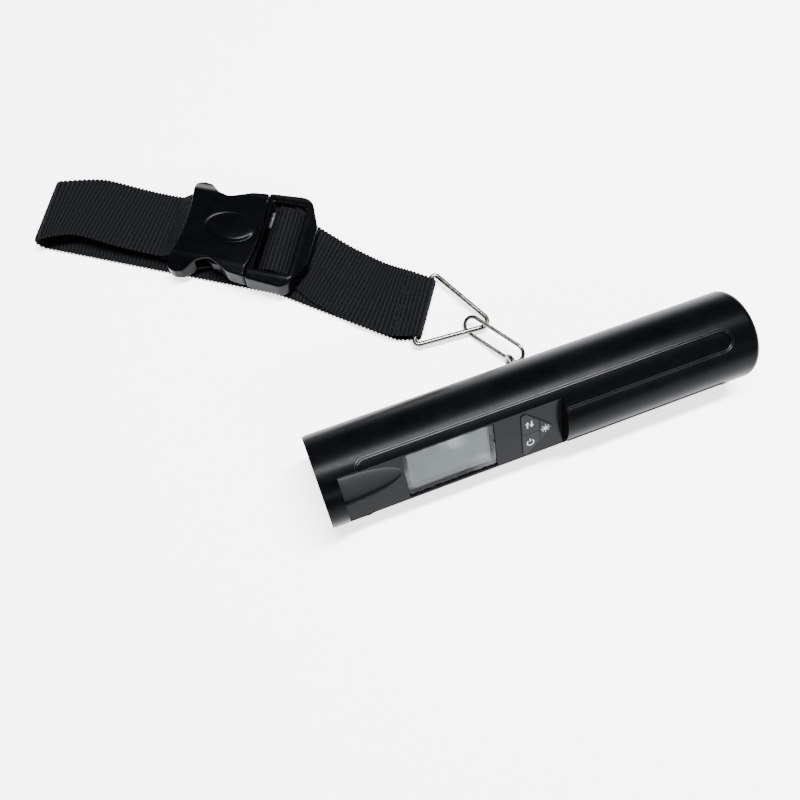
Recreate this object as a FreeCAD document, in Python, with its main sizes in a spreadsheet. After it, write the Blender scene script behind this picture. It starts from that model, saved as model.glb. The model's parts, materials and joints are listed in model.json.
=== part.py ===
import FreeCAD
import Part
import Sketcher
import math
import os
import re
from FreeCAD import Matrix, Placement, Rotation, Vector

# Digital luggage scale: a tube handle with a flat display facet, a load cell and
# two AAA cells inside, an eye and link at the back, a triangular ring, and a
# loop of 30 mm webbing closed by a side-release buckle.
#
# Three working frames, all in millimetres:
#   handle frame  x along the tube, y up the facet, z out of the facet, on the axis
#   ring frame    x from the apex to the base, y along the base, z up
#   buckle frame  x from the socket to the plug, y across, z up
# Each sub-part is drawn in one of them and set in the shared frame by its Placement.

doc = FreeCAD.newDocument("luggage_scale")
sheet = doc.addObject("Spreadsheet::Sheet", "Sizes")

SIZES = [
    # handle shell
    ("tube_radius", 16.5, "outside radius of the tube"),
    ("tube_length", 161.0, "over the end cap and the closed end"),
    ("wall", 2.0, "wall of the tube"),
    ("end_rounding", 2.5, "rounded edge of the closed end"),
    ("end_wall", 2.5, "thickness of the closed end"),
    ("cap_flange", 1.0, "visible edge of the end cap"),
    ("cap_spigot", 2.6, "part of the end cap inside the tube"),
    ("cap_step", 0.15, "end cap smaller than the tube, in radius"),
    ("slip", 0.1, "clearance of pieces that drop into seats"),
    ("beyond", 20.0, "reach of cutting blocks, past everything in the tube"),
    ("facet_height", 11.86, "flat facet above the tube axis"),
    ("facet_left", -74.2, "left end of the facet"),
    ("facet_right", 5.4, "right end of the facet"),
    ("facet_tilt", 25.7, "facet normal above the horizontal at rest, degrees"),
    ("floor_below", 2.86, "underside of the seat floor, below the facet"),
    ("split_height", -12.64, "plane where the back strip leaves the shell"),
    ("door_start", 20.0, "left end of the battery door"),
    ("door_gap", 0.3, "gap at the left end of the battery door"),
    ("door_slip", 0.12, "running clearance of the battery door"),
    ("rib_pitch", 2.2, "spacing of the thumb ribs on the door"),
    ("rib_height", 0.5, "thumb ribs above the door"),
    # grip strips
    ("grip_angle", 41.5, "strip centre round from the facet normal, degrees"),
    ("grip_width", 6.9, "width of a strip groove"),
    ("grip_left", -67.5, "left end of the strips"),
    ("grip_right", 69.5, "right end of the strips"),
    ("grip_depth", 0.85, "groove depth"),
    ("grip_below", 0.3, "strip surface below the tube surface"),
    # display panel, lens and keys
    ("panel_thick", 1.6, "display panel"),
    ("panel_half", 11.0, "half width of the panel"),
    ("window_left", -52.2, "left edge of the display window"),
    ("window_right", -19.6, "right edge of the display window"),
    ("window_half", 10.3, "half width of the display window"),
    ("lens_thick", 1.0, "clear lens"),
    ("ledge", 1.7, "lens seat ledge"),
    ("scoop_length", 21.0, "dished scoop, along the panel"),
    ("scoop_half", 7.0, "dished scoop, half width"),
    ("scoop_deep", 1.15, "dished scoop, depth"),
    ("scoop_offset", 3.8, "scoop centre above the panel centre line"),
    ("keypad_left", -10.0, "flat side of the three-key triangle"),
    ("keypad_right", 1.7, "apex of the three-key triangle"),
    ("keypad_half", 11.2, "half height of the flat side"),
    ("keypad_round", 1.3, "corner radius of the triangle"),
    ("keypad_split", -3.4, "line between the two side keys and the apex key"),
    ("key_gap", 0.2, "gap between neighbouring keys and round them"),
    ("key_proud", 0.45, "key tops above the panel"),
    ("key_flange", 0.9, "retaining flange of a key"),
    ("key_stem", 1.1, "radius of a key stem"),
    ("key_travel", 0.5, "how far a key moves"),
    # display stack and board
    ("board_top", 4.6, "top of the circuit board"),
    ("board_thick", 1.6, "circuit board"),
    ("board_left", -57.0, "left end of the board"),
    ("board_right", 4.0, "right end of the board"),
    ("board_half", 11.4, "half width of the board"),
    ("glass_thick", 1.9, "display glass"),
    ("glass_half", 9.2, "half width of the display glass"),
    ("glass_left", -51.2, "left edge of the display glass"),
    ("glass_right", -20.6, "right edge of the display glass"),
    ("frame_wall", 1.3, "wall of the display frame"),
    ("light_half", 7.4, "half width of the backlight"),
    ("strip_thick", 1.1, "width of a contact strip"),
    ("switch_side", 4.5, "side of a key switch"),
    ("switch_tall", 1.5, "height of a key switch body"),
    # load cell and eye
    ("beam_left", -73.0, "fixed end of the load cell"),
    ("beam_right", 14.0, "free end of the load cell"),
    ("beam_half", 5.5, "half width of the load cell"),
    ("beam_top", -1.5, "top of the load cell"),
    ("beam_tall", 7.5, "height of the load cell"),
    ("beam_bore", 2.6, "radius of the two bores that make the flexure"),
    ("beam_bore_pitch", 12.0, "spacing of the two bores"),
    ("beam_middle", -30.0, "middle of the flexure"),
    ("anchor_pitch", 7.0, "spacing of the load cell screws"),
    ("eye_place", 2.0, "eye along the tube"),
    ("eye_reach", 22.0, "eye centre from the tube axis"),
    ("eye_ring", 3.8, "eye, radius to the wire centre"),
    ("eye_wire", 1.0, "radius of the eye wire"),
    ("stud_radius", 1.5, "radius of the eye stud"),
    ("eye_hole", 3.4, "radius of the hole in the back cover"),
    # cells and tray
    ("cell_radius", 5.25, "AAA cell"),
    ("cell_length", 44.5, "AAA cell over its contact"),
    ("cell_aside", 5.3, "cell axis from the middle"),
    ("cell_down", 6.6, "cell axis below the tube axis"),
    ("nub_radius", 1.9, "cell contact"),
    ("nub_length", 0.8, "cell contact"),
    ("tray_left", 22.5, "left end of the cell tray"),
    ("tray_right", 76.0, "right end of the cell tray"),
    ("tray_wall", 1.5, "wall of the cell tray"),
    ("plate_thick", 0.4, "contact plates"),
    # screws
    ("screw_radius", 0.9, "self-tapping screws"),
    ("screw_head", 1.7, "screw head radius"),
    ("head_tall", 0.8, "screw head height"),
    ("cover_screw_aside", 6.6, "cover screws from the middle"),
    ("cover_screw_pitch", 41.0, "spacing of the cover screws"),
    ("cover_screw_first", -66.0, "first pair of cover screws"),
    ("head_seat", -13.4, "underside of the cover screw heads"),
    ("thread_top", -10.0, "tips of the cover screws"),
    ("standoff", 1.9, "radius of a board standoff, and its place from the end of the board"),
    ("standoff_pitch", 40.6, "spacing of the standoffs"),
    ("standoff_aside", 8.9, "standoffs from the middle"),
    ("anchor_first", 3.5, "first load cell screw from the fixed end"),
    ("anchor_radius", 1.5, "load cell screws"),
    ("anchor_head", 2.6, "load cell screw head radius"),
    # link and ring
    ("link_wire", 0.75, "radius of the link wire"),
    ("link_half_width", 3.45, "link, centre line half width"),
    ("link_roll", -50.0, "link rolled about its length at rest, degrees"),
    ("link_near", 24.5, "link end from the tube axis, along the eye"),
    ("link_near_x", 7.5, "near end of the link, along the tube from its middle"),
    ("link_far_x", -5.75, "far end of the link, along the tube from its middle"),
    ("link_far_y", 45.3, "far end of the link, behind the tube"),
    ("ring_wire", 1.0, "radius of the ring wire"),
    ("ring_height", 28.4, "sharp triangle, apex to base"),
    ("ring_half_base", 16.9, "sharp triangle, half of the base"),
    ("ring_round_apex", 3.0, "apex bend radius"),
    ("ring_round_base", 1.6, "base bend radius"),
    ("ring_level", 3.2, "ring plane above the table"),
    ("ring_heading", 145.3, "apex to base, degrees from the tube axis"),
    ("base_x", -19.2, "middle of the ring base"),
    ("base_y", 56.4, "middle of the ring base"),
    # webbing
    ("web_thick", 1.3, "webbing"),
    ("web_half", 15.0, "half of the webbing width"),
    ("web_pinch", 13.4, "half width where it wraps the ring base"),
    ("web_clear", 0.15, "webbing loop off the ring base"),
    ("web_low", 0.9, "middle of the lower layer above the table"),
    ("web_second", 2.45, "middle of the second layer above the table"),
    ("fold_x", -145.1, "middle of the fold"),
    ("fold_y", 150.9, "middle of the fold"),
    ("fold_heading", 154.0, "webbing at the fold, degrees from the tube axis"),
    ("fold_near", 3.7, "fold radius at the near edge, to the middle of its thickness"),
    ("fold_far", 2.6, "fold radius at the far edge"),
    ("ring_leg", 7.0, "lower leg of the turn round the ring base"),
    ("end_near", 6.0, "upper layer at the socket, its near edge above the table"),
    ("end_far", 4.6, "upper layer at the socket, its far edge above the table"),
    ("socket_leg", 7.9, "webbing from the socket bar to its sewn end"),
    # buckle
    ("buckle_x", -74.7, "middle of the buckle"),
    ("buckle_y", 110.0, "middle of the buckle"),
    ("buckle_heading", -32.3, "socket to plug, degrees from the tube axis"),
    ("buckle_bottom", 3.35, "underside of the buckle above the table"),
    ("buckle_tall", 8.8, "buckle thickness"),
    ("buckle_half", 21.8, "half width over the wings"),
    ("shell_thick", 1.7, "socket wall, top and bottom"),
    ("socket_bar", -23.6, "bar of the socket, from the buckle middle"),
    ("bar_radius", 1.5, "bar of the socket"),
    ("bar_clear", 0.15, "webbing off that bar"),
    ("bridge", 1.3, "top of the socket where it covers the bar"),
    ("room_left", -31.0, "open end of the webbing room"),
    ("room_right", -18.6, "wall of the webbing room"),
    ("cavity_left", -18.0, "inner end of the cavity for the prongs"),
    ("mid_bar", 14.0, "middle bar of the plug"),
    ("mid_bar_half", 1.7, "half width of the middle bar"),
    ("mid_bar_tall", 3.0, "middle bar, and its underside above that of the buckle"),
    ("window_from", 8.0, "left end of the plug window"),
    ("window_long", 13.9, "plug window along the buckle"),
    ("cavity_half", 16.6, "half width of the socket cavity"),
    ("seam_x", 5.0, "socket face, from the buckle middle"),
    ("plug_right", 26.4, "right end of the plug"),
    ("plug_half", 21.2, "half width of the plug"),
    ("bar_slot_half", 15.9, "half length of the webbing slots"),
    ("prong_pivot_y", 10.8, "root of a prong from the middle"),
    ("prong_pivot_x", 2.6, "root of a prong, from the buckle middle"),
    ("prong_root", 1.8, "radius of the prong root"),
    ("prong_tall", 3.0, "prong arm height"),
    ("prong_button", 4.6, "height of the part that is pressed"),
    ("dome_x", -5.5, "middle of the oval boss on the socket"),
    ("dome_long", 9.0, "half length of the oval boss"),
    ("dome_wide", 6.0, "half width of the oval boss"),
    ("dome_rise", 0.9, "rise of the oval boss"),
    ("origin_x", 0.0, "middle of the whole part, set below"),
    ("origin_y", 0.0, "middle of the whole part, set below"),
]
for row, (alias, value, note) in enumerate(SIZES, start=1):
    sheet.set(f"A{row}", alias)
    sheet.set(f"B{row}", str(value))
    sheet.setAlias(f"B{row}", alias)
    sheet.set(f"C{row}", note)
doc.recompute()
ALIASES = {alias for alias, value, note in SIZES}
sub_parts = []
hand_placed = []


def formula(text):
    """Point each alias in a formula at its cell."""
    return re.sub(r"[a-z_]+", lambda word: ("Sizes." if word[0] in ALIASES else "") + word[0], str(text))


def size(alias):
    """The number in a cell, for shapes made with Part's own functions."""
    return float(sheet.get(alias))


def bind(item, **formulas):
    for name, text in formulas.items():
        item.setExpression(name.replace("__", "."), formula(text))
    return item


# ---- primitives and booleans, every size a formula of the sheet ----

def box(name, x0, x1, y0, y1, z0, z1):
    item = doc.addObject("Part::Box", name)
    bind(item, Length=f"({x1}) - ({x0})", Width=f"({y1}) - ({y0})", Height=f"({z1}) - ({z0})")
    return bind(item, Placement__Base__x=x0, Placement__Base__y=y0, Placement__Base__z=z0)


def drum(name, radius, x0, x1, y="0", z="0"):
    """Cylinder along x."""
    item = doc.addObject("Part::Cylinder", name)
    item.Placement = Placement(Vector(), Rotation(Vector(0, 1, 0), 90))
    bind(item, Radius=radius, Height=f"({x1}) - ({x0})")
    return bind(item, Placement__Base__x=x0, Placement__Base__y=y, Placement__Base__z=z)


def post(name, radius, x, y, z0, z1):
    """Cylinder along z."""
    item = doc.addObject("Part::Cylinder", name)
    bind(item, Radius=radius, Height=f"({z1}) - ({z0})")
    return bind(item, Placement__Base__x=x, Placement__Base__y=y, Placement__Base__z=z0)


def pin(name, radius, x, y0, y1, z):
    """Cylinder along y."""
    item = doc.addObject("Part::Cylinder", name)
    item.Placement = Placement(Vector(), Rotation(Vector(1, 0, 0), -90))
    bind(item, Radius=radius, Height=f"({y1}) - ({y0})")
    return bind(item, Placement__Base__x=x, Placement__Base__y=y0, Placement__Base__z=z)


def fuse(name, *pieces):
    item = doc.addObject("Part::MultiFuse", name)
    item.Shapes = list(pieces)
    item.Refine = True
    return item


def group(name, *pieces):
    item = doc.addObject("Part::Compound", name)
    item.Links = list(pieces)
    return item


def cut(name, base, *tools):
    item = doc.addObject("Part::Cut", name)
    item.Base = base
    item.Tool = tools[0] if len(tools) == 1 else group(name + "_tools", *tools)
    item.Refine = True
    return item


def common(name, first, second):
    item = doc.addObject("Part::Common", name)
    item.Base = first
    item.Tool = second
    return item


def in_handle(item, label):
    """Roll a handle piece so that the facet looks up and forward, and rest the tube on the table."""
    item.Label = label
    item.Placement = Placement(Vector(), Rotation(Vector(1, 0, 0), 90))
    bind(item, Placement__Rotation__Angle="90 - facet_tilt", Placement__Base__z="tube_radius")
    bind(item, Placement__Base__x="0 - origin_x", Placement__Base__y="0 - origin_y")
    sub_parts.append(item)
    return item


# ---- PartDesign plates: rectangles padded down from their top face ----

def rectangle(body, name, x0, x1, y0, y1, top):
    plane = next(f for f in body.Origin.OriginFeatures if f.Role == "XY_Plane")
    sketch = body.newObject("Sketcher::SketchObject", name)
    sketch.AttachmentSupport = [(plane, "")]
    sketch.MapMode = "FlatFace"
    corners = [Vector(-1, -1, 0), Vector(1, -1, 0), Vector(1, 1, 0), Vector(-1, 1, 0)]
    for number in range(4):
        sketch.addGeometry(Part.LineSegment(corners[number], corners[(number + 1) % 4]))
    for number in range(4):
        sketch.addConstraint(Sketcher.Constraint("Coincident", number, 2, (number + 1) % 4, 1))
        kind = "Horizontal" if number % 2 == 0 else "Vertical"
        sketch.addConstraint(Sketcher.Constraint(kind, number))
    sketch.addConstraint(Sketcher.Constraint("Symmetric", 0, 1, 1, 2, -1, 1))
    for label, line in (("along", 0), ("across", 1)):
        index = sketch.addConstraint(Sketcher.Constraint("Distance", line, 2.0))
        sketch.renameConstraint(index, label)
    bind(sketch, Constraints__along=f"({x1}) - ({x0})", Constraints__across=f"({y1}) - ({y0})")
    bind(sketch, AttachmentOffset__Base__x=f"(({x1}) + ({x0})) / 2")
    return bind(sketch, AttachmentOffset__Base__y=f"(({y1}) + ({y0})) / 2", AttachmentOffset__Base__z=top)


def plate(name, outline, top, thick, openings=()):
    """A flat plate: one padded rectangle with rectangular pockets right through it."""
    body = doc.addObject("PartDesign::Body", name)
    pad = body.newObject("PartDesign::Pad", name + "_pad")
    pad.Profile = rectangle(body, name + "_outline", *outline, top)
    pad.Reversed = True
    bind(pad, Length=thick)
    for number, opening in enumerate(openings):
        pocket = body.newObject("PartDesign::Pocket", f"{name}_pocket{number}")
        pocket.Profile = rectangle(body, f"{name}_opening{number}", *opening, top)
        bind(pocket, Length=thick)
    return body


# ---- handle shell ----

left = "0 - tube_length / 2"
right = "tube_length / 2"
shell_left = f"{left} + cap_flange"


def tube_outside(name):
    """The full round outside with its rounded closed end."""
    barrel = drum(name + "_barrel", "tube_radius", shell_left, f"{right} - end_rounding")
    crown = drum(name + "_crown", "tube_radius - end_rounding", shell_left, right)
    edge = doc.addObject("Part::Torus", name + "_edge")
    edge.Placement = Placement(Vector(), Rotation(Vector(0, 1, 0), 90))
    bind(edge, Radius1="tube_radius - end_rounding", Radius2="end_rounding")
    bind(edge, Placement__Base__x=f"{right} - end_rounding")
    return fuse(name, barrel, crown, edge)


def grip_slot(name, side, inset):
    """A long round-ended prism standing on the tube axis under one grip strip."""
    half = f"(grip_width / 2 - {inset})"
    bar = box(name + "_bar", "grip_left + grip_width / 2", "grip_right - grip_width / 2",
              f"0 - {half}", half, "8", "beyond")
    ends = [post(f"{name}_end{n}", half, place, "0", "8", "beyond")
            for n, place in enumerate(("grip_left + grip_width / 2", "grip_right - grip_width / 2"))]
    item = fuse(name, bar, *ends)
    item.Placement = Placement(Vector(), Rotation(Vector(1, 0, 0), 10))
    if side < 0:
        item.Placement = Placement(Vector(), Rotation(Vector(-1, 0, 0), 10))
    return bind(item, Placement__Rotation__Angle="grip_angle")


seat = "facet_height - panel_thick"
floor = "facet_height - floor_below"
hollow = drum("hollow", "tube_radius - wall", f"{left} - 1", f"{right} - end_wall")
hollow_tube = cut("hollow_tube", tube_outside("outside"), hollow)
seat_block = common("seat_block", drum("seat_drum", "tube_radius - 0.5", "facet_left - 2", "facet_right + 2"),
                    box("seat_box", "facet_left - 2", "facet_right + 2", "0 - beyond", "beyond", floor, "beyond"))
anchor = box("anchor", "beam_left - 1", "beam_left + 14", "-6", "6", "beam_top + 0.1", f"{floor} + 0.5")
shelves = []
for number in range(3):
    place = f"(cover_screw_first + {number} * cover_screw_pitch)"
    for side in (-1, 1):
        y0, y1 = ("4.7", "15") if side > 0 else ("-15", "-4.7")
        shelf = box(f"shelf{number}_{side + 1}", f"{place} - 2.6", f"{place} + 2.6", y0, y1, "split_height", "-9.7")
        shelves.append(shelf)
shelf_set = common("shelf_set", fuse("shelf_bars", *shelves),
                   drum("shelf_drum", "tube_radius - 0.5", "-75", "40"))
standoffs = []
for number, place in enumerate(("board_left + standoff", "board_left + standoff + standoff_pitch")):
    for side in (-1, 1):
        standoffs.append(post(f"standoff{number}_{side + 1}", "standoff", place, f"{side} * standoff_aside",
                              "board_top", f"{floor} + 0.5"))
solid = fuse("shell_solid", hollow_tube, seat_block, anchor, shelf_set, *standoffs)

facet_cut = box("facet_cut", "facet_left", "facet_right", "0 - beyond", "beyond", "facet_height", "beyond")
seat_cut = box("seat_cut", "facet_left", "facet_right", "0 - panel_half", "panel_half", seat, "beyond")
display_hole = box("display_hole", "window_left + ledge", "window_right - ledge", "ledge - window_half",
                   "window_half - ledge", "5", "12")
key_hole = box("key_hole", "keypad_left - key_flange - 0.4", "facet_right - 1.6", "-10.4", "10.4", "5", "12")
back_cut = box("back_cut", f"{left} - 1", f"{right} + 1", "0 - beyond", "beyond", "0 - beyond", "split_height")
groove_core = drum("groove_core", "tube_radius - grip_depth", "-90", "90")
groove_rods = fuse("groove_rods", grip_slot("groove_up", 1, 0), grip_slot("groove_low", -1, 0))
grooves = cut("grooves", groove_rods, groove_core)
shell_bores = []
for number in range(3):
    place = f"(cover_screw_first + {number} * cover_screw_pitch)"
    for side in (-1, 1):
        shell_bores.append(post(f"shell_bore{number}_{side + 1}", "screw_radius", place,
                                f"{side} * cover_screw_aside", "head_seat", "thread_top + slip"))
for number, place in enumerate(("board_left + standoff", "board_left + standoff + standoff_pitch")):
    for side in (-1, 1):
        shell_bores.append(post(f"board_bore{number}_{side + 1}", "screw_radius", place,
                                f"{side} * standoff_aside", "4", "8.4"))
for number in range(2):
    shell_bores.append(post(f"anchor_bore{number}", "anchor_radius",
                            f"beam_left + anchor_first + {number} * anchor_pitch", "0",
                            "beam_top", "6"))
rail_ways = [box(f"rail_way{n}", "door_start", f"{right} + 1", y0, y1, "-14", "-11.95")
             for n, (y0, y1) in enumerate((("5.1", "6.4"), ("-6.4", "-5.1")))]
in_handle(cut("housing_cut", solid, facet_cut, seat_cut, display_hole, key_hole, back_cut, grooves,
              *shell_bores, *rail_ways), "housing")

cap = fuse("cap_solid", drum("cap_disc", "tube_radius - cap_step", left, shell_left),
           drum("cap_spigot_drum", "tube_radius - wall - slip", shell_left, f"{shell_left} + cap_spigot"))
cap_low = box("cap_low", shell_left, f"{shell_left} + 5", "0 - beyond", "beyond", "0 - beyond", "split_height + slip")
cap_room = drum("cap_room", "tube_radius - wall - 1.6", shell_left, f"{shell_left} + 5")
in_handle(cut("cap_cut", cap, cap_room, cap_low), "end_cap")

for name, side in (("upper", 1), ("lower", -1)):
    rod = grip_slot(f"strip_rod_{name}", side, "slip")
    skin = cut(f"strip_skin_{name}", drum(f"strip_out_{name}", "tube_radius - grip_below", "-90", "90"),
               drum(f"strip_in_{name}", "tube_radius - grip_depth", "-91", "91"))
    trimmed = cut(f"strip_{name}", common(f"strip_arc_{name}", rod, skin),
                  box(f"strip_trim_{name}", "facet_left - 3", "facet_right", "0 - beyond", "beyond", "facet_height", "25"),
                  box(f"strip_side_{name}", "facet_left - 3", "facet_right + slip", "0 - panel_half - slip",
                      "panel_half + slip", "8", "25"))
    in_handle(trimmed, f"grip_strip_{name}")

# ---- back cover and battery door ----


def back_segment(name, x0, x1, clear):
    """The strip of tube below the split plane, between two places along the tube."""
    outside = tube_outside(name + "_outside")
    piece = common(name + "_segment", outside, box(name + "_range", x0, x1, "0 - beyond", "beyond", "0 - beyond",
                                                   f"split_height - {clear}"))
    return cut(name + "_strip", piece, drum(name + "_hollow", "tube_radius - wall", "-90", f"{right} - end_wall"))


cover = back_segment("cover", shell_left, "door_start", "0")
cover_tools = [post("cover_eye_hole", "eye_hole", "eye_place", "0", "0 - beyond", "-10")]
cover_screws = []
for number in range(3):
    place = f"(cover_screw_first + {number} * cover_screw_pitch)"
    for side in (-1, 1):
        aside = f"{side} * cover_screw_aside"
        name = f"{number}_{side + 1}"
        cover_tools.append(post("head_room" + name, "screw_head + 0.1", place, aside, "0 - beyond", "head_seat"))
        cover_tools.append(post("shank_room" + name, "screw_radius", place, aside, "0 - beyond", "thread_top"))
        head = post("cover_head" + name, "screw_head", place, aside, "head_seat - head_tall", "head_seat")
        shank = post("cover_shank" + name, "screw_radius", place, aside, "head_seat", "thread_top")
        cover_screws.append(fuse("cover_screw" + name, head, shank))
in_handle(cut("cover_cut", cover, *cover_tools), "back_cover")
in_handle(group("cover_screw_set", *cover_screws), "cover_screws")

door = back_segment("door", "door_start + door_gap", right, "door_slip")
door_rails = [box(f"door_rail{n}", "door_start + 4", "66", y0, y1, "0 - 14.4", "-12.1")
              for n, (y0, y1) in enumerate((("5.3", "6.2"), ("-6.2", "-5.3")))]
door_ribs = [box(f"door_rib{n}", f"door_start + 5 + {n} * rib_pitch", f"door_start + 6 + {n} * rib_pitch",
                 "-4.5", "4.5", "0 - tube_radius - rib_height + 0.5", "-15") for n in range(4)]
in_handle(fuse("door_solid", door, *door_rails, *door_ribs), "battery_door")

# ---- display panel, lens and display stack ----

window = ("window_left", "window_right", "0 - window_half", "window_half")
panel_plate = plate("panel_plate", ("facet_left + slip", "facet_right - slip", "slip - panel_half",
                                    "panel_half - slip"), "facet_height", "panel_thick", [window])
scoop = doc.addObject("Part::Ellipsoid", "scoop")
bind(scoop, Radius1="scoop_deep", Radius2="scoop_length", Radius3="scoop_half")
bind(scoop, Placement__Base__x="facet_left", Placement__Base__y="scoop_offset", Placement__Base__z="facet_height")


def keypad_prism(name, grow, z0, z1):
    """The rounded triangle of the keypad, grown outward, as a prism."""
    item = doc.addObject("Part::Feature", name)
    x0, x1, half = size("keypad_left"), size("keypad_right"), size("keypad_half")
    slope = half / (x1 - x0)
    lean = math.hypot(1, slope)
    base_x = x0 - grow
    apex_x = x1 + grow * lean / slope
    reach = (apex_x - base_x) * slope
    points = [Vector(base_x, -reach, 0), Vector(apex_x, 0, 0), Vector(base_x, reach, 0)]
    item.Shape = rounded_prism(points, size("keypad_round") + max(grow, 0), z0, z1)
    return item


def rounded_prism(points, radius, z0, z1):
    """Extrude a closed outline from z0 to z1 with every corner rounded."""
    outline = Part.Wire(rounded_edges(points, radius, True))
    return Part.Face(outline).extrude(Vector(0, 0, z1 - z0)).translated(Vector(0, 0, z0))


def rounded_edges(points, radius, closed):
    """Straight runs joined by tangent arcs; radius is one number or one per corner."""
    count = len(points)
    radii = radius if isinstance(radius, list) else [radius] * count
    joints = []
    for number in range(count):
        here = points[number]
        if not closed and number in (0, count - 1):
            joints.append((here, None, here))
            continue
        back = (points[number - 1] - here).normalize()
        ahead = (points[(number + 1) % count] - here).normalize()
        half = back.getAngle(ahead) / 2
        reach = radii[number] / math.tan(half)
        middle = here + (back + ahead).normalize() * (radii[number] / math.sin(half) - radii[number])
        joints.append((here + back * reach, middle, here + ahead * reach))
    edges = []
    for number in range(count if closed else count - 1):
        start, end = joints[number][2], joints[(number + 1) % count][0]
        if (end - start).Length > 1e-6:
            edges.append(Part.LineSegment(start, end).toShape())
        entry, middle, leave = joints[(number + 1) % count]
        if middle:
            edges.append(Part.Arc(entry, middle, leave).toShape())
    return edges


facet = size("facet_height")
seat_level = facet - size("panel_thick")
flange_low = seat_level - 1.2
key_opening = keypad_prism("key_opening", size("key_gap"), seat_level - 1, facet + 1)
in_handle(cut("panel_cut", panel_plate, scoop, key_opening), "display_panel")
in_handle(plate("lens", ("window_left + slip", "window_right - slip", "slip - window_half",
                         "window_half - slip"), f"{seat} + lens_thick", "lens_thick"), "display_lens")
in_handle(plate("glass", ("glass_left", "glass_right", "0 - glass_half", "glass_half"),
                f"{floor} - slip", "glass_thick"), "display_glass")
in_handle(plate("frame", ("glass_left - frame_wall", "glass_right + frame_wall", "0 - glass_half - frame_wall",
                          "glass_half + frame_wall"), f"{floor} - slip", f"{floor} - slip - board_top",
                [("glass_left - slip", "glass_right + slip", "0 - glass_half - slip", "glass_half + slip")]),
          "display_frame")
light_top = f"{floor} - 2 * slip - glass_thick"
in_handle(plate("light", ("glass_left + 0.4", "glass_right - 0.4", "0 - light_half", "light_half"),
                light_top, f"{light_top} - board_top"), "backlight")
contact_strips = [box(f"contact_strip{n}", "glass_left + 1", "glass_right - 1", y0, y1, "board_top", light_top)
                  for n, (y0, y1) in enumerate((("light_half + 0.3", "light_half + 0.3 + strip_thick"),
                                                ("0 - light_half - 0.3 - strip_thick", "0 - light_half - 0.3")))]
in_handle(group("contact_strip_set", *contact_strips), "contact_strips")

# ---- circuit board with its chips, switches and screws ----

board_plate = plate("board_plate", ("board_left", "board_right", "0 - board_half", "board_half"),
                    "board_top", "board_thick")
board_screws = []
board_bores = []
for number, place in enumerate(("board_left + standoff", "board_left + standoff + standoff_pitch")):
    for side in (-1, 1):
        name = f"{number}_{side + 1}"
        under = "board_top - board_thick"
        board_bores.append(post("board_room" + name, "screw_radius", place, f"{side} * standoff_aside", "2", "5"))
        head = post("board_head" + name, "screw_head", place, f"{side} * standoff_aside", f"{under} - head_tall", under)
        shank = post("board_shank" + name, "screw_radius", place, f"{side} * standoff_aside", under, "8.2")
        board_screws.append(fuse("board_screw" + name, head, shank))
in_handle(cut("board_cut", board_plate, *board_bores), "circuit_board")
in_handle(group("board_screw_set", *board_screws), "board_screws")
under = "board_top - board_thick"
chips = [box("controller", "-44", "-34", "-5", "5", f"{under} - 1.6", under),
         box("converter", "-24", "-18", "-2.5", "2.5", f"{under} - 1.5", under),
         box("capacitor", "-12", "-9", "4", "5.6", f"{under} - 1.2", under)]
in_handle(group("chip_set", *chips), "board_chips")

key_centres = {"unit": (-6.6, 4.6), "power": (-6.6, -4.6), "light": (-1.4, 0.0)}
switches = []
for name, (x, y) in key_centres.items():
    half = "(switch_side / 2 - 0.1)" if name != "light" else "(switch_side / 2 - 0.35)"
    body = box("switch_body_" + name, f"{x} - {half}", f"{x} + {half}", f"{y} - {half}", f"{y} + {half}",
               "board_top", "board_top + switch_tall")
    tip = post("switch_tip_" + name, "key_stem - 0.1", x, y, "board_top + switch_tall",
               "board_top + switch_tall + 0.45")
    switches.append(fuse("switch_" + name, body, tip))
in_handle(group("switch_set", *switches), "key_switches")

# ---- three key caps cut from one rounded triangle ----

split = size("keypad_split")
gap = size("key_gap") / 2
key_ranges = {"unit": (-20, split - gap, gap, 20), "power": (-20, split - gap, -20, -gap),
              "light": (split + gap, 20, -20, 20)}
for name, (x0, x1, y0, y1) in key_ranges.items():
    upper = common("key_top_" + name, keypad_prism("key_top_prism_" + name, 0.0, seat_level - 0.3,
                                                   facet + size("key_proud")),
                   box("key_top_range_" + name, x0, x1, y0, y1, "0", "beyond"))
    lower = common("key_foot_" + name, keypad_prism("key_foot_prism_" + name, size("key_flange"), flange_low,
                                                    seat_level - 0.15),
                   box("key_foot_range_" + name, x0, x1, y0, y1, "0", "beyond"))
    x, y = key_centres[name]
    stem = post("key_stem_" + name, "key_stem", x, y, "board_top + switch_tall + 0.45 + 0.05 + key_travel",
                flange_low + 0.5)
    in_handle(fuse("key_solid_" + name, upper, lower, stem), "key_" + name)

# ---- load cell with its gauges and screws, eye and nut ----

beam_under = "beam_top - beam_tall"
beam = box("beam", "beam_left", "beam_right", "0 - beam_half", "beam_half", beam_under, "beam_top")
middle = "(beam_top - beam_tall / 2)"
beam_tools = [pin(f"beam_bore{n}", "beam_bore", f"beam_middle {sign} beam_bore_pitch / 2", "-10", "10", middle)
              for n, sign in enumerate("-+")]
beam_tools.append(box("beam_slot", "beam_middle - beam_bore_pitch / 2", "beam_middle + beam_bore_pitch / 2",
                      "-10", "10", f"{middle} - 0.8", f"{middle} + 0.8"))
beam_tools.append(post("beam_eye_bore", "stud_radius + 0.05", "eye_place", "0", "-15", "5"))
anchor_screws = []
for number in range(2):
    place = f"beam_left + anchor_first + {number} * anchor_pitch"
    beam_tools.append(post(f"beam_anchor_bore{number}", "anchor_radius", place, "0", "-15", "5"))
    head = post(f"anchor_head{number}", "anchor_head", place, "0", f"{beam_under} - 1.6", beam_under)
    shank = post(f"anchor_shank{number}", "anchor_radius", place, "0", beam_under, "5.5")
    anchor_screws.append(fuse(f"anchor_screw{number}", head, shank))
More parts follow.
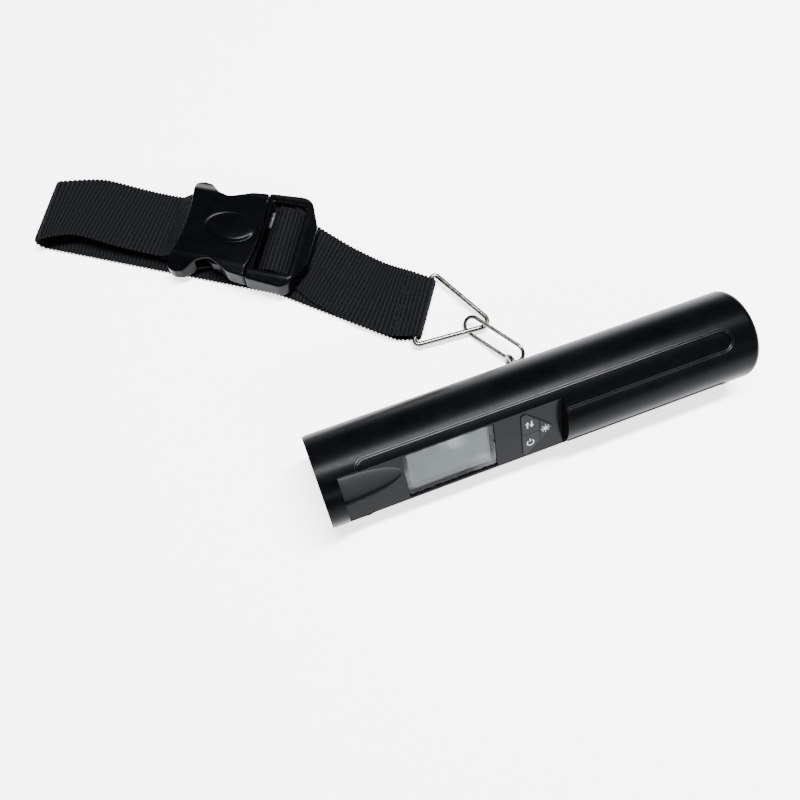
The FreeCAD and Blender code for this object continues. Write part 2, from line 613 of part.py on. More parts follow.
in_handle(cut("beam_cut", beam, *beam_tools), "load_cell")
in_handle(group("anchor_screw_set", *anchor_screws), "load_cell_screws")
gauges = [box(f"gauge{n}", f"beam_middle {sign} beam_bore_pitch / 2 - 2.5",
              f"beam_middle {sign} beam_bore_pitch / 2 + 2.5", "-2.2", "2.2", z0, z1)
          for n, (sign, z0, z1) in enumerate((("-", "beam_top", "beam_top + 0.3"),
                                              ("+", "beam_top", "beam_top + 0.3"),
                                              ("-", f"{beam_under} - 0.3", beam_under),
                                              ("+", f"{beam_under} - 0.3", beam_under)))]
in_handle(group("gauge_set", *gauges), "strain_gauges")

eye_loop = doc.addObject("Part::Torus", "eye_loop")
eye_loop.Placement = Placement(Vector(), Rotation(Vector(0, 1, 0), 90))
bind(eye_loop, Radius1="eye_ring", Radius2="eye_wire")
bind(eye_loop, Placement__Base__x="eye_place", Placement__Base__z="0 - eye_reach")
stud = post("stud", "stud_radius", "eye_place", "0", "0 - eye_reach + eye_ring - 0.3", "beam_top + 2.9")
shoulder = post("shoulder", "stud_radius + 1.1", "eye_place", "0", f"{beam_under} - 1.2", beam_under)
in_handle(fuse("eye_solid", eye_loop, stud, shoulder), "load_eye")
nut_blank = doc.addObject("Part::Prism", "nut_blank")
nut_blank.Polygon = 6
bind(nut_blank, Circumradius="3.2", Height="2.3")
bind(nut_blank, Placement__Base__x="eye_place", Placement__Base__z="beam_top")
in_handle(cut("nut", nut_blank, post("nut_bore", "stud_radius", "eye_place", "0", "-5", "5")), "eye_nut")

# ---- cells, tray, contacts and springs ----

bay_left = "(tray_left + tray_wall)"
bay_right = "(tray_right - tray_wall)"
tray = fuse("tray_solid", box("tray_roof", "tray_left", "tray_right", "-11", "11", "-1.3", "0.2"),
            box("tray_end0", "tray_left", bay_left, "-10.5", "10.5", "-9.5", "0.2"),
            box("tray_end1", bay_right, "tray_right", "-10.5", "10.5", "-9.5", "0.2"))
in_handle(tray, "battery_tray")
plates = []
springs = []
for name, side in (("front", 1), ("rear", -1)):
    aside = f"{side} * cell_aside"
    x_nub = f"({bay_right} - plate_thick - 0.05)" if side > 0 else f"({bay_left} + plate_thick + 0.05)"
    ends = sorted([(0, f"{x_nub} - {side} * cell_length"), (side, f"{x_nub} - {side} * nub_length")])
    can = drum("can_" + name, "cell_radius", ends[0][1], ends[1][1], aside, "0 - cell_down")
    nub_ends = sorted([(side, x_nub), (0, f"{x_nub} - {side} * nub_length")])
    nub = drum("nub_" + name, "nub_radius", nub_ends[0][1], nub_ends[1][1], aside, "0 - cell_down")
    in_handle(fuse("cell_" + name, can, nub), "battery_" + name)
    plates.append(box("plate_plus_" + name, bay_right + " - plate_thick" if side > 0 else bay_left,
                      bay_right if side > 0 else bay_left + " + plate_thick",
                      f"{aside} - 4", f"{aside} + 4", "-9.5", "-2"))
    plates.append(box("plate_minus_" + name, bay_left if side > 0 else bay_right + " - plate_thick",
                      bay_left + " + plate_thick" if side > 0 else bay_right,
                      f"{aside} - 4", f"{aside} + 4", "-9.5", "-2"))
    spring = doc.addObject("Part::Cone", "spring_" + name)
    spring.Placement = Placement(Vector(), Rotation(Vector(0, side, 0), 90))
    bind(spring, Radius1="3.6", Radius2="2.2", Height=f"{bay_right} - {bay_left} - 2 * plate_thick - 0.1 - cell_length")
    bind(spring, Placement__Base__y=aside, Placement__Base__z="0 - cell_down")
    bind(spring, Placement__Base__x=f"{bay_left} + plate_thick" if side > 0 else f"{bay_right} - plate_thick")
    springs.append(spring)
in_handle(group("plate_set", *plates), "battery_contacts")
in_handle(group("spring_set", *springs), "battery_springs")

# ---- pieces behind the tube: link, ring, webbing and buckle ----


def in_world(shape, label):
    """A piece given directly in the shared frame, shifted to the origin once that is known."""
    item = doc.addObject("Part::Feature", label + "_solid")
    item.Shape = shape
    item.Label = label
    sub_parts.append(item)
    hand_placed.append(item)
    return item


def facing(origin, x_axis, z_axis):
    """Placement that carries the local x and z axes to two given directions."""
    ex = Vector(x_axis).normalize()
    ey = z_axis.cross(ex).normalize()
    ez = ex.cross(ey)
    return Placement(Matrix(ex.x, ey.x, ez.x, origin.x, ex.y, ey.y, ez.y, origin.y,
                            ex.z, ey.z, ez.z, origin.z, 0, 0, 0, 1))


def wire_loop(points, radii, wire):
    """Round wire bent into a closed loop through rounded corners."""
    path = Part.Wire(Part.sortEdges(rounded_edges(points, radii, True))[0])
    first = path.Edges[0]
    start = first.valueAt(first.FirstParameter)
    circle = Part.Circle(start, first.tangentAt(first.FirstParameter), wire)
    pipe = path.makePipeShell([Part.Wire(circle.toShape())], True, False, 0)
    return pipe


tilt = math.radians(size("facet_tilt"))
out = Vector(0, math.cos(tilt), -math.sin(tilt))
axis_point = Vector(0, 0, size("tube_radius"))
table_up = Vector(0, 0, 1)
near = axis_point + Vector(size("link_near_x"), 0, 0) + out * size("link_near")
far = Vector(size("link_far_x"), size("link_far_y"), size("ring_level"))
along = (far - near).normalize()
level = along.cross(table_up).normalize()
roll = math.radians(size("link_roll"))
link_up = (level * math.sin(roll) + level.cross(along).normalize() * math.cos(roll))
link_width = size("link_half_width")
link_half = (far - near).Length / 2
corners = [Vector(-link_half, -link_width, 0), Vector(link_half, -link_width, 0),
           Vector(link_half, link_width, 0), Vector(-link_half, link_width, 0)]
link = wire_loop(corners, link_width - 0.001, size("link_wire"))
link.Placement = facing((near + far) * 0.5, along, link_up)
in_world(link, "carry_link")

heading = math.radians(size("ring_heading"))
ring_x = Vector(math.cos(heading), math.sin(heading), 0)
base = Vector(size("base_x"), size("base_y"), size("ring_level"))
height, half_base = size("ring_height"), size("ring_half_base")
ring = wire_loop([Vector(0, half_base, 0), Vector(-height, 0, 0), Vector(0, -half_base, 0)],
                 [size("ring_round_base"), size("ring_round_apex"), size("ring_round_base")],
                 size("ring_wire"))
ring.Placement = facing(base, ring_x, table_up)
in_world(ring, "strap_ring")


def band(stations, thick):
    """Flat band through stations of middle point, sideways vector (half width long) and face normal."""
    sections = []
    for middle_point, aside, normal in stations:
        up = normal * (thick / 2)
        loop = [middle_point - aside - up, middle_point + aside - up,
                middle_point + aside + up, middle_point - aside + up]
        sections.append(Part.makePolygon(loop + [loop[0]]))
    return Part.makeLoft(sections, True, True)


def sideways(direction, half):
    return Vector(direction.y, -direction.x, 0).normalize() * half


web = size("web_thick")
web_half = size("web_half")
pinch = size("web_pinch")
loop_radius = size("ring_wire") + size("web_clear") + web / 2


def edge_station(middle_point, heading_degrees, near_z, far_z):
    """Station of a band that runs on a heading, with its two edges at their own heights."""
    turned = math.radians(heading_degrees)
    aside = Vector(math.sin(turned), -math.cos(turned), 0) * web_half
    aside.z = (far_z - near_z) / 2
    return Vector(middle_point.x, middle_point.y, (near_z + far_z) / 2), aside, table_up


def beside_line(first, last, share, aside):
    """Point on the way from one point to another in plan, moved off the line towards the far edge."""
    way = Vector(last.x - first.x, last.y - first.y, 0)
    return Vector(first.x, first.y, 0) + way * share + Vector(-way.y, way.x, 0).normalize() * aside


# The loop round the ring base: half a turn, then two short legs that meet the two runs.
half_turn = [math.radians(turn) for turn in range(0, 181, 20)]
stations = []
for angle in half_turn:
    normal = ring_x * -math.sin(angle) + table_up * -math.cos(angle)
    stations.append((base + normal * loop_radius, sideways(ring_x, pinch), normal))
ring_leg = size("ring_leg")
low_end = Vector(base.x, base.y, 0) + ring_x * ring_leg + table_up * size("web_low")
high_end = Vector(base.x, base.y, 0) + ring_x * (ring_leg + 2) + table_up * (size("ring_level") + 1.1)
stations = [(low_end, sideways(ring_x, web_half), -table_up)] + stations
stations.append((high_end, sideways(ring_x, web_half), table_up))
in_world(band(stations, web), "webbing_ring_loop")

# Lower run along the table, and the fold: half a turn up and back, wider at its near edge.
fold = Vector(size("fold_x"), size("fold_y"), size("web_low"))
fold_heading = math.radians(size("fold_heading"))
fold_dir = Vector(math.cos(fold_heading), math.sin(fold_heading), 0)
web_low = size("web_low")
gap_end = 0.02
bend = beside_line(fold, low_end, 0.664, 6.4)
in_world(band([(low_end + ring_x * gap_end, sideways(ring_x, web_half), table_up),
               edge_station(bend, 142.5, web_low, web_low),
               (fold, sideways(fold_dir, web_half), table_up)], web), "webbing_lower")
stations = []
fold_aside = sideways(fold_dir, web_half)
for angle in half_turn:
    normal = fold_dir * math.sin(angle) - table_up * math.cos(angle)
    edges = [fold + side * fold_aside + (table_up + normal) * size(radius)
             for side, radius in ((-1, "fold_near"), (1, "fold_far"))]
    stations.append(((edges[0] + edges[1]) * 0.5 + fold_dir * gap_end, (edges[1] - edges[0]) * 0.5, normal))
in_world(band(stations, web), "webbing_fold")

# Buckle frame.
buckle_heading = math.radians(size("buckle_heading"))
bx = Vector(math.cos(buckle_heading), math.sin(buckle_heading), 0)
by = Vector(-bx.y, bx.x, 0)
buckle = Vector(size("buckle_x"), size("buckle_y"), size("buckle_bottom"))
tall = size("buckle_tall")
buckle_place = facing(buckle, bx, table_up)


def at_buckle(x, y, z):
    return buckle + bx * x + by * y + table_up * z


# Upper run from the fold to the socket bar, its near edge lifted, and its sewn turn round that bar.
bar_x, bar_z = size("socket_bar"), tall / 2
bar_radius = size("bar_radius")
turn_radius = bar_radius + size("bar_clear") + web / 2
leg_start = at_buckle(bar_x - size("socket_leg"), 0, 0)
leg_heading = size("buckle_heading") + 180
fold_top = [web_low + 2 * size(radius) for radius in ("fold_near", "fold_far")]
upper = [edge_station(fold - fold_dir * gap_end, size("fold_heading"), *fold_top)]
for share, aside, run_heading, near_z, far_z in ((0.14, 2.2, 147.0, 8.4, 5.9), (0.29, 4.3, 144.0, 8.0, 5.2),
                                                 (0.69, 1.3, 142.0, 7.0, 4.8)):
    upper.append(edge_station(beside_line(fold, leg_start, share, aside), run_heading, near_z, far_z))
end_near, end_far = size("end_near"), size("end_far")
upper.append(edge_station(leg_start, leg_heading, end_near, end_far))
in_world(band(upper, web), "webbing_upper_left")
stations = [edge_station(leg_start + bx * gap_end, leg_heading, end_near, end_far)]
for turn in range(-30, 181, 30):
    normal = bx * math.sin(math.radians(turn)) + table_up * math.cos(math.radians(turn))
    stations.append((at_buckle(bar_x, 0, bar_z) + normal * turn_radius, sideways(-bx, web_half), normal))
tail, tail_aside, tail_up = edge_station(leg_start + bx * gap_end, leg_heading, end_near - 1.4, end_far - 1.4)
stations.append((tail, tail_aside, -tail_up))
in_world(band(stations, web), "webbing_socket_loop")

# Second layer from the ring to the plug, low enough for the plug to slide over it.
second = size("web_second")
under_plug = at_buckle(22.0, 0, 0)
in_world(band([(high_end + ring_x * gap_end, sideways(ring_x, web_half), table_up),
               edge_station(beside_line(under_plug, high_end, 0.71, -1.8), 135.0, second + 0.15, second + 0.15),
               edge_station(beside_line(under_plug, high_end, 0.35, -2.0), 132.0, second, second),
               edge_station(under_plug, 142.0, second, second)], web), "webbing_upper_right")

# Webbing threaded over the plug's middle bar.
mid_bar = size("mid_bar")
thread_aside = by * web_half
threaded = [(at_buckle(mid_bar + 7.3, 0, 2.0), thread_aside, bx * -0.45 + table_up * 0.89),
            (at_buckle(mid_bar + 2.6, 0, tall - 2.2), thread_aside, bx * 0.5 + table_up * 0.87),
            (at_buckle(mid_bar, 0, tall - 1.7), thread_aside, table_up),
            (at_buckle(mid_bar - 2.6, 0, tall - 2.2), thread_aside, bx * -0.5 + table_up * 0.87),
            (at_buckle(mid_bar - 5.0, 0, 2.4), thread_aside, bx * -0.9 + table_up * 0.43)]
in_world(band(threaded, web), "webbing_threaded")

# Socket: a flat box with flared wings, a cavity for the prongs and a bar for the webbing.
wing = size("buckle_half")
seam = size("seam_x")
half_outline = [(-25.4, 14.6), (-26.6, wing - 1.2), (-23.2, wing), (-19.8, wing - 0.6), (-15.2, 16.4),
                (-10.6, 14.6), (-6.2, 16.6), (-2.0, 19.0), (seam, 19.9)]
outline = [Vector(x, -y, 0) for x, y in half_outline] + [Vector(x, y, 0) for x, y in reversed(half_outline)]
radii = [1.0, 2.0, 1.2, 1.6, 4.0, 4.0, 4.0, 6.0, 0.8]
socket = rounded_prism(outline, radii + radii[::-1], 0, tall)
cavity_half = size("cavity_half")
skin = size("shell_thick")
cavity_left = size("cavity_left")
cavity = Part.makeBox(seam + 0.5 - cavity_left, 2 * cavity_half, tall - 2 * skin,
                      Vector(cavity_left, -cavity_half, skin))
slot_half = size("bar_slot_half")
bar_reach = slot_half + 0.6
bar = Part.makeCylinder(bar_radius, 2 * bar_reach, Vector(bar_x, -bar_reach, bar_z), Vector(0, 1, 0))
room = Part.makeBox(size("room_right") - size("room_left"), 2 * slot_half, tall - size("bridge") + 1,
                    Vector(size("room_left"), -slot_half, -1))
dome = Part.makeSphere(1)
stretch = Matrix()
stretch.scale(size("dome_long"), size("dome_wide"), size("dome_rise"))
dome = dome.transformGeometry(stretch).translated(Vector(size("dome_x"), 0, tall))
dome = dome.common(Part.makeBox(40, 40, 5, Vector(-25, -20, tall - 0.3)))
socket = socket.cut(cavity).cut(room).fuse(bar).fuse(dome).removeSplitter()
socket.Placement = buckle_place
in_world(socket, "buckle_socket")

# Plug: a frame with two webbing slots either side of a middle bar, and a guide rail.
plug_right = size("plug_right")
plug_half = size("plug_half")
plug_left = seam + 0.3
plug_outline = [Vector(plug_left, -20.2, 0), Vector(plug_right - 4, -plug_half - 0.4, 0),
                Vector(plug_right + 1.2, -9, 0), Vector(plug_right + 1.2, 9, 0),
                Vector(plug_right - 4, plug_half + 0.4, 0), Vector(plug_left, 20.2, 0)]
plug = rounded_prism(plug_outline, [0.8, 6.0, 8.0, 8.0, 6.0, 0.8], 0, tall - 0.4)
window_box = Part.makeBox(size("window_long"), 2 * slot_half, tall + 2,
                          Vector(size("window_from"), -slot_half, -1))
mid_half, mid_tall = size("mid_bar_half"), size("mid_bar_tall")
middle_bar = Part.makeBox(2 * mid_half, 2 * slot_half + 2, mid_tall,
                          Vector(mid_bar - mid_half, -slot_half - 1, mid_tall))
rail = Part.makeBox(16.0, 4.0, 3.0, Vector(plug_left - 14.0, -2.0, tall / 2 - 1.5))
plug = plug.cut(window_box).fuse(middle_bar).fuse(rail)
lug_x, lug_y, lug_r = size("prong_pivot_x"), size("prong_pivot_y"), size("prong_root")
prong_low = (tall - size("prong_tall")) / 2
prongs = {}
for name, side in (("upper", 1), ("lower", -1)):
    hub = Vector(lug_x, side * lug_y, 0)
    fork = Part.makeBox(plug_left - lug_x + 1.0, 3.0, tall - 2 * skin - 0.7,
                        Vector(lug_x, side * lug_y - 1.5, skin + 0.35))
    fork_end = Part.makeCylinder(1.5, tall - 2 * skin - 0.7, hub + Vector(0, 0, skin + 0.35))
    gap_room = Part.makeCylinder(lug_r + 0.9, size("prong_tall") + 0.4, hub + Vector(0, 0, prong_low - 0.2))
    hinge_pin = Part.makeCylinder(0.7, size("prong_tall") + 0.6, hub + Vector(0, 0, prong_low - 0.3))
    plug = plug.fuse(fork.fuse(fork_end).cut(gap_room)).fuse(hinge_pin)
    button = [(-3.5, 13.9), (-5.0, 16.3), (-9.0, 16.3), (-13.2, 13.6), (-14.6, 11.4), (-13.2, 10.6), (-6.0, 11.2)]
    arm = [(lug_x, lug_y - 1.3), (lug_x, lug_y + 1.3)] + button
    arm_points = [Vector(x, side * y, 0) for x, y in arm]
    arm_solid = rounded_prism(arm_points, 0.5, prong_low, prong_low + size("prong_tall"))
    button_low = (tall - size("prong_button")) / 2
    button_points = [Vector(x, side * y, 0) for x, y in button]
    arm_solid = arm_solid.fuse(rounded_prism(button_points, 0.5, button_low, tall - button_low))
    root = Part.makeCylinder(lug_r, size("prong_tall"), hub + Vector(0, 0, prong_low))
    bore = Part.makeCylinder(0.75, tall, hub)
    prongs[name] = arm_solid.fuse(root).cut(bore)
plug.Placement = buckle_place
in_world(plug, "buckle_plug")
for name, prong in prongs.items():
    prong.Placement = buckle_place
    in_world(prong, "release_prong_" + name)

# ---- origin under the middle of the whole part, then checks and export ----


def recompute_and_check():
    doc.recompute()
    for item in doc.Objects:
        if {"Invalid", "Error"} & set(item.State):
            raise RuntimeError(f"{item.Label} did not rebuild: {item.State}")
    for part in sub_parts:
        if part.Shape.isNull() or not part.Shape.isValid() or part.Shape.Volume <= 0:
            raise RuntimeError(f"{part.Label} has no valid solid")


recompute_and_check()
whole = sub_parts[0].Shape.optimalBoundingBox(False, False)
for part in sub_parts:
    whole.add(part.Shape.optimalBoundingBox(False, False))
sheet.set("origin_x", f"{whole.Center.x:.3f}")
sheet.set("origin_y", f"{whole.Center.y:.3f}")
doc.recompute()
shift = Vector(-size("origin_x"), -size("origin_y"), 0)
for part in hand_placed:
    part.Placement = Placement(shift, Rotation()).multiply(part.Placement)
recompute_and_check()

os.makedirs("parts", exist_ok=True)
for part in sub_parts:
    part.Shape.exportStep(f"parts/{part.Label}.step")
print(f"{len(sub_parts)} sub-parts, origin {shift.x:.3f} {shift.y:.3f}, bottom {whole.ZMin:.3f}, "
      f"size {whole.XLength:.1f} x {whole.YLength:.1f} x {whole.ZLength:.1f}")
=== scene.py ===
import json
import math
import bmesh
import bpy
from mathutils import Matrix, Vector


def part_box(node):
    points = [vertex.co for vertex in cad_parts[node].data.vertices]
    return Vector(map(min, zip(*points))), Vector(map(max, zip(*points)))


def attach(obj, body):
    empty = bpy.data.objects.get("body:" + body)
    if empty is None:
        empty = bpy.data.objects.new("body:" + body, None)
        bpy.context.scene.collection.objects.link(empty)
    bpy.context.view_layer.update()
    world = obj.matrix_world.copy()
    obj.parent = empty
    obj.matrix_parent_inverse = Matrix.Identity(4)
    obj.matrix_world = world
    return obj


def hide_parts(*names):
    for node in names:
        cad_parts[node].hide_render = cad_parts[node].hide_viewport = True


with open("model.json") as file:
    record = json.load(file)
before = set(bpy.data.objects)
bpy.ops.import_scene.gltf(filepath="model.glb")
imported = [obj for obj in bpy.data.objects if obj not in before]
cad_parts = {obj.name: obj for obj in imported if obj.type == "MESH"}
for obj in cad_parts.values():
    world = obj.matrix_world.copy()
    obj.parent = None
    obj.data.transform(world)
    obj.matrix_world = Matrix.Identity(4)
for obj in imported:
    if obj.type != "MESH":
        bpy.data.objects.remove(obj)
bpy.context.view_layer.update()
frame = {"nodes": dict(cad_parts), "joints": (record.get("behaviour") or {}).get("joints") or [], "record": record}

# ---- Table, lights and camera ----
# The scale lies on a seamless white table under one large soft box that hangs over its front,
# with a long dim strip at the cap end. The camera stands over the cap end and looks steeply down.

mm = 0.001
mounts = {mount["name"]: Vector(mount["pos_m"]) for mount in frame["record"]["mounts"]}
tube_mid = (mounts["cap_end_face"] + mounts["closed_end_face"]) / 2
table_mid = Vector((tube_mid.x, tube_mid.y, 0))


def plain_mesh(name, points, faces):
    mesh = bpy.data.meshes.new(name)
    mesh.from_pydata([tuple(point) for point in points], [], faces)
    return mesh


def linked(name, data):
    thing = bpy.data.objects.new(name, data)
    bpy.context.collection.objects.link(thing)
    return thing


def soft_box(name, place, aim, size, power, colour):
    lamp = bpy.data.lights.new(name, "AREA")
    lamp.shape = "RECTANGLE"
    lamp.size, lamp.size_y = size
    lamp.energy, lamp.color = power, colour
    holder = linked(name, lamp)
    back = (Vector(place) - Vector(aim)).normalized()
    wide = (Vector((1, 0, 0)) - back * back.x).normalized()
    facing = Matrix((wide, back.cross(wide), back)).transposed().to_4x4()
    holder.matrix_world = Matrix.Translation(place) @ facing


table_half = 1.6
corners = [(-table_half, -table_half, 0), (table_half, -table_half, 0),
           (table_half, table_half, 0), (-table_half, table_half, 0)]
table = linked("table", plain_mesh("table", corners, [(0, 1, 2, 3)]))
paper = bpy.data.materials.new("paper")
paper.use_nodes = True
paper_shader = paper.node_tree.nodes["Principled BSDF"]
for label, setting in {"Base Color": (0.96, 0.96, 0.96, 1), "Roughness": 0.95, "Specular IOR Level": 0.1,
                       "Emission Color": (1, 1, 1, 1), "Emission Strength": 2.2}.items():
    paper_shader.inputs[label].default_value = setting
table.data.materials.append(paper)

room = bpy.data.worlds.new("room")
room.use_nodes = True
room.node_tree.nodes["Background"].inputs["Color"].default_value = (0.92, 0.95, 1.0, 1)
room.node_tree.nodes["Background"].inputs["Strength"].default_value = 0.15
bpy.context.scene.world = room
soft_box("overhead", (0.16, 0.03, 1.0), (0.0, 0.0, 0.0), (0.75, 0.12), 56, (0.95, 0.97, 1.0))
soft_box("front_strip", (0.1, -0.9, 0.55), (0.0, 0.0, 0.0), (0.9, 0.12), 8, (0.85, 0.92, 1.0))

lens = bpy.data.cameras.new("camera")
lens.sensor_width, lens.lens = 36, 34.83
seat = linked("camera", lens)
look = Vector((0.13602, 0.35251, -0.92587)).normalized()
across = look.cross(Vector((0.32842, 0.86567, 0.37784))).normalized()
turned = Matrix((across, across.cross(look), -look)).transposed()
camera_from_tube = Vector((-80.75, -78.54, 270.75)) * mm
seat.matrix_world = Matrix.Translation(table_mid + camera_from_tube) @ turned.to_4x4()
bpy.context.scene.camera = seat

# ---- Moulded shell: housing, end cap, back cover and battery door ----
# Injection moulded black ABS with a fine spark-eroded grain. The cap is pushed into the left end,
# the cover is held by six screws, and the door slides off along the tube.


class Value:
    """A socket of a material. Arithmetic with numbers or other values adds its Math nodes."""

    def __init__(self, tree, socket=None):
        self.tree, self.socket = tree, socket

    def node(self, kind, settings=None, out=0, **inputs):
        made = self.tree.nodes.new(kind)
        for name, setting in (settings or {}).items():
            setattr(made, name, setting)
        for name, given in inputs.items():
            plain = name.replace("_", " ")
            socket = made.inputs[int(name[1:]) if name[1:].isdigit() else plain]
            if isinstance(given, Value):
                self.tree.links.new(given.socket, socket)
            else:
                socket.default_value = given
        return Value(self.tree, made.outputs[out])

    def math(self, operation, *given):
        sockets = {f"i{place}": value for place, value in enumerate(given)}
        return self.node("ShaderNodeMath", {"operation": operation}, **sockets)

    def __add__(self, other):
        return self.math("ADD", self, other)

    def __mul__(self, other):
        return self.math("MULTIPLY", self, other)

    __radd__ = __add__

    def wave(self):
        return self.math("SINE", self)

    def step(self, low, high):
        return self.node("ShaderNodeMapRange", {"interpolation_type": "SMOOTHSTEP"},
                         Value=self, From_Min=low, From_Max=high)

    def between(self, dark, light):
        """The colour this far on the way from one colour to another."""
        return self.node("ShaderNodeMix", {"data_type": "RGBA"}, out=2, i0=self, i6=(*dark, 1),
                         i7=(*light, 1))

    def noise(self, scale, detail=2.0):
        """Noise over the space of the piece, with a scale per metre."""
        place = self.node("ShaderNodeTexCoord", out=3)
        return self.node("ShaderNodeTexNoise", Vector=place, Scale=scale, Detail=detail)

    def bump(self, strength, depth):
        return self.node("ShaderNodeBump", Strength=strength, Distance=depth, Height=self)

    def into(self, shader, label):
        self.tree.links.new(self.socket, shader.inputs[label])


def finish(name, **constants):
    """A material, its shader with the inputs that are the same all over, and a value to start from."""
    material = bpy.data.materials.new(name)
    material.use_nodes = True
    shader = material.node_tree.nodes["Principled BSDF"]
    for label, number in constants.items():
        shader.inputs[label.replace("_", " ")].default_value = number
    return material, shader, Value(material.node_tree)


def moulded(name, dark, light, rough, grain=0.3, grain_scale=2300.0, gloss=0.5, **constants):
    """Moulded plastic: slow drift of colour, eroded grain, and gloss rubbed uneven by hands."""
    material, shader, start = finish(name, **constants)
    shader.inputs["Specular IOR Level"].default_value = gloss
    drift, fine, rubbed = start.noise(38.0), start.noise(grain_scale, 1.0), start.noise(240.0, 4.0)
    (drift * 0.7 + rubbed * 0.3).step(0.35, 0.65).between(dark, light).into(shader, "Base Color")
    (rough - 0.05 + rubbed * 0.1).into(shader, "Roughness")
    (fine + rubbed * 0.35).bump(grain, 0.00005).into(shader, "Normal")
    return material


def cover_with(material, *names):
    for name in names:
        mesh = frame["nodes"][name].data
        mesh.materials.clear()
        mesh.materials.append(material)


deep_black, worn_black = (0.0006, 0.0007, 0.0009), (0.0012, 0.0013, 0.0016)
shell_black = moulded("shell_black", deep_black, worn_black, 0.3, grain=0.3, gloss=0.03)
cover_with(shell_black, "housing", "end_cap", "back_cover", "battery_door")

# ---- Cover screws ----
# Six pan-head self-tapping screws with a cross recess, zinc plated, sunk in the back cover.

facet_out = -Vector(next(j for j in frame["joints"] if j["name"] == "light_key_press")["axis"])
facet_up = facet_out.cross(Vector((1, 0, 0)))
handle_place = Matrix((Vector((1, 0, 0)), facet_up, facet_out)).transposed().to_4x4()
handle_place.translation = tube_mid


def node_tree(name, kinds):
    """An empty geometry tree with named inputs, and a way to add a node and link its inputs."""
    tree = bpy.data.node_groups.new(name, "GeometryNodeTree")
    tree.interface.new_socket("Geometry", in_out="INPUT", socket_type="NodeSocketGeometry")
    tree.interface.new_socket("Geometry", in_out="OUTPUT", socket_type="NodeSocketGeometry")
    for label, kind in kinds.items():
        tree.interface.new_socket(label, in_out="INPUT", socket_type="NodeSocket" + kind)
    given = tree.nodes.new("NodeGroupInput")

    def add(kind, settings=None, out=0, **links):
        made = tree.nodes.new("GeometryNode" + kind)
        for label, setting in (settings or {}).items():
            setattr(made, label, setting)
        for label, source in links.items():
            socket = made.inputs[int(label[1:]) if label[1:].isdigit() else label.replace("_", " ")]
            if isinstance(source, bpy.types.NodeSocket):
                tree.links.new(source, socket)
            else:
                socket.default_value = source
        return made.outputs[out]

    def close(shape):
        realized = add("RealizeInstances", Geometry=shape)
        painted = add("SetMaterial", Geometry=realized, Material=given.outputs["Material"])
        tree.links.new(painted, tree.nodes.new("NodeGroupOutput").inputs[0])

    return tree, given.outputs, add, close


def grow(tree, seed_mesh, **values):
    """The plain mesh that a tree makes from a seed mesh."""
    seed = linked(tree.name + "_seed", seed_mesh)
    growing = seed.modifiers.new(tree.name, "NODES")
    growing.node_group = tree
    for item in tree.interface.items_tree:
        label = item.name.replace(" ", "_")
        if item.in_out == "INPUT" and label in values:
            growing[item.identifier] = values[label]
    made = bpy.data.meshes.new_from_object(seed.evaluated_get(bpy.context.evaluated_depsgraph_get()))
    seed.modifiers.remove(growing)
    bpy.data.objects.remove(seed)
    return made


def piece(name, mesh, body, slot, *stood_for):
    """A finished mesh, already in place, that rides on a body and may stand for CAD nodes."""
    made = linked(name, mesh)
    made.data.name = name
    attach(made, body)
    if stood_for:
        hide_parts(*stood_for)
    return made


def smooth(mesh, degrees=40):
    mesh.polygons.foreach_set("use_smooth", [True] * len(mesh.polygons))
    mesh.set_sharp_from_angle(angle=math.radians(degrees))
    return mesh


def screw_head(radius, rise, arm, slot_half, slot_deep):
    """One head, domed, with a cross-shaped recess, facing up from zero height."""
    shape = bmesh.new()
    outer, steps = [], 24
    for turn in range(steps):
        angle = math.tau * turn / steps
        outer.append((math.cos(angle), math.sin(angle)))
    rings = [(radius, 0.0), (radius, rise * 0.55), (radius * 0.82, rise * 0.92), (radius * 0.66, rise)]
    rows = [[shape.verts.new((x * size, y * size, z)) for x, y in outer] for size, z in rings]
    cross = []
    for quarter in range(4):
        turned_by = Matrix.Rotation(math.pi / 2 * quarter, 3, "Z")
        for x, y in ((arm, -slot_half), (arm, 0), (arm, slot_half), (slot_half, slot_half)):
            cross.append(turned_by @ Vector((x, y, rise)))
    lip = [shape.verts.new(point) for point in cross]
    floor = [shape.verts.new((point.x * 0.8, point.y * 0.8, rise - slot_deep)) for point in cross]
    corner_count = len(cross)
    for low, high in zip(rows, rows[1:]):
        for a in range(steps):
            b = (a + 1) % steps
            shape.faces.new((low[a], low[b], high[b], high[a]))
    edges = [shape.edges.get((rows[-1][a], rows[-1][(a + 1) % steps])) for a in range(steps)]
    edges += [shape.edges.new((lip[a], lip[(a + 1) % corner_count])) for a in range(corner_count)]
    bmesh.ops.triangle_fill(shape, edges=edges, use_beauty=True, normal=(0, 0, 1))
    for a in range(corner_count):
        b = (a + 1) % corner_count
        shape.faces.new((lip[a], lip[b], floor[b], floor[a]))
    shape.faces.new(floor)
    bmesh.ops.recalc_face_normals(shape, faces=shape.faces)
    head = bpy.data.meshes.new("screw_head")
    shape.to_mesh(head)
    return head


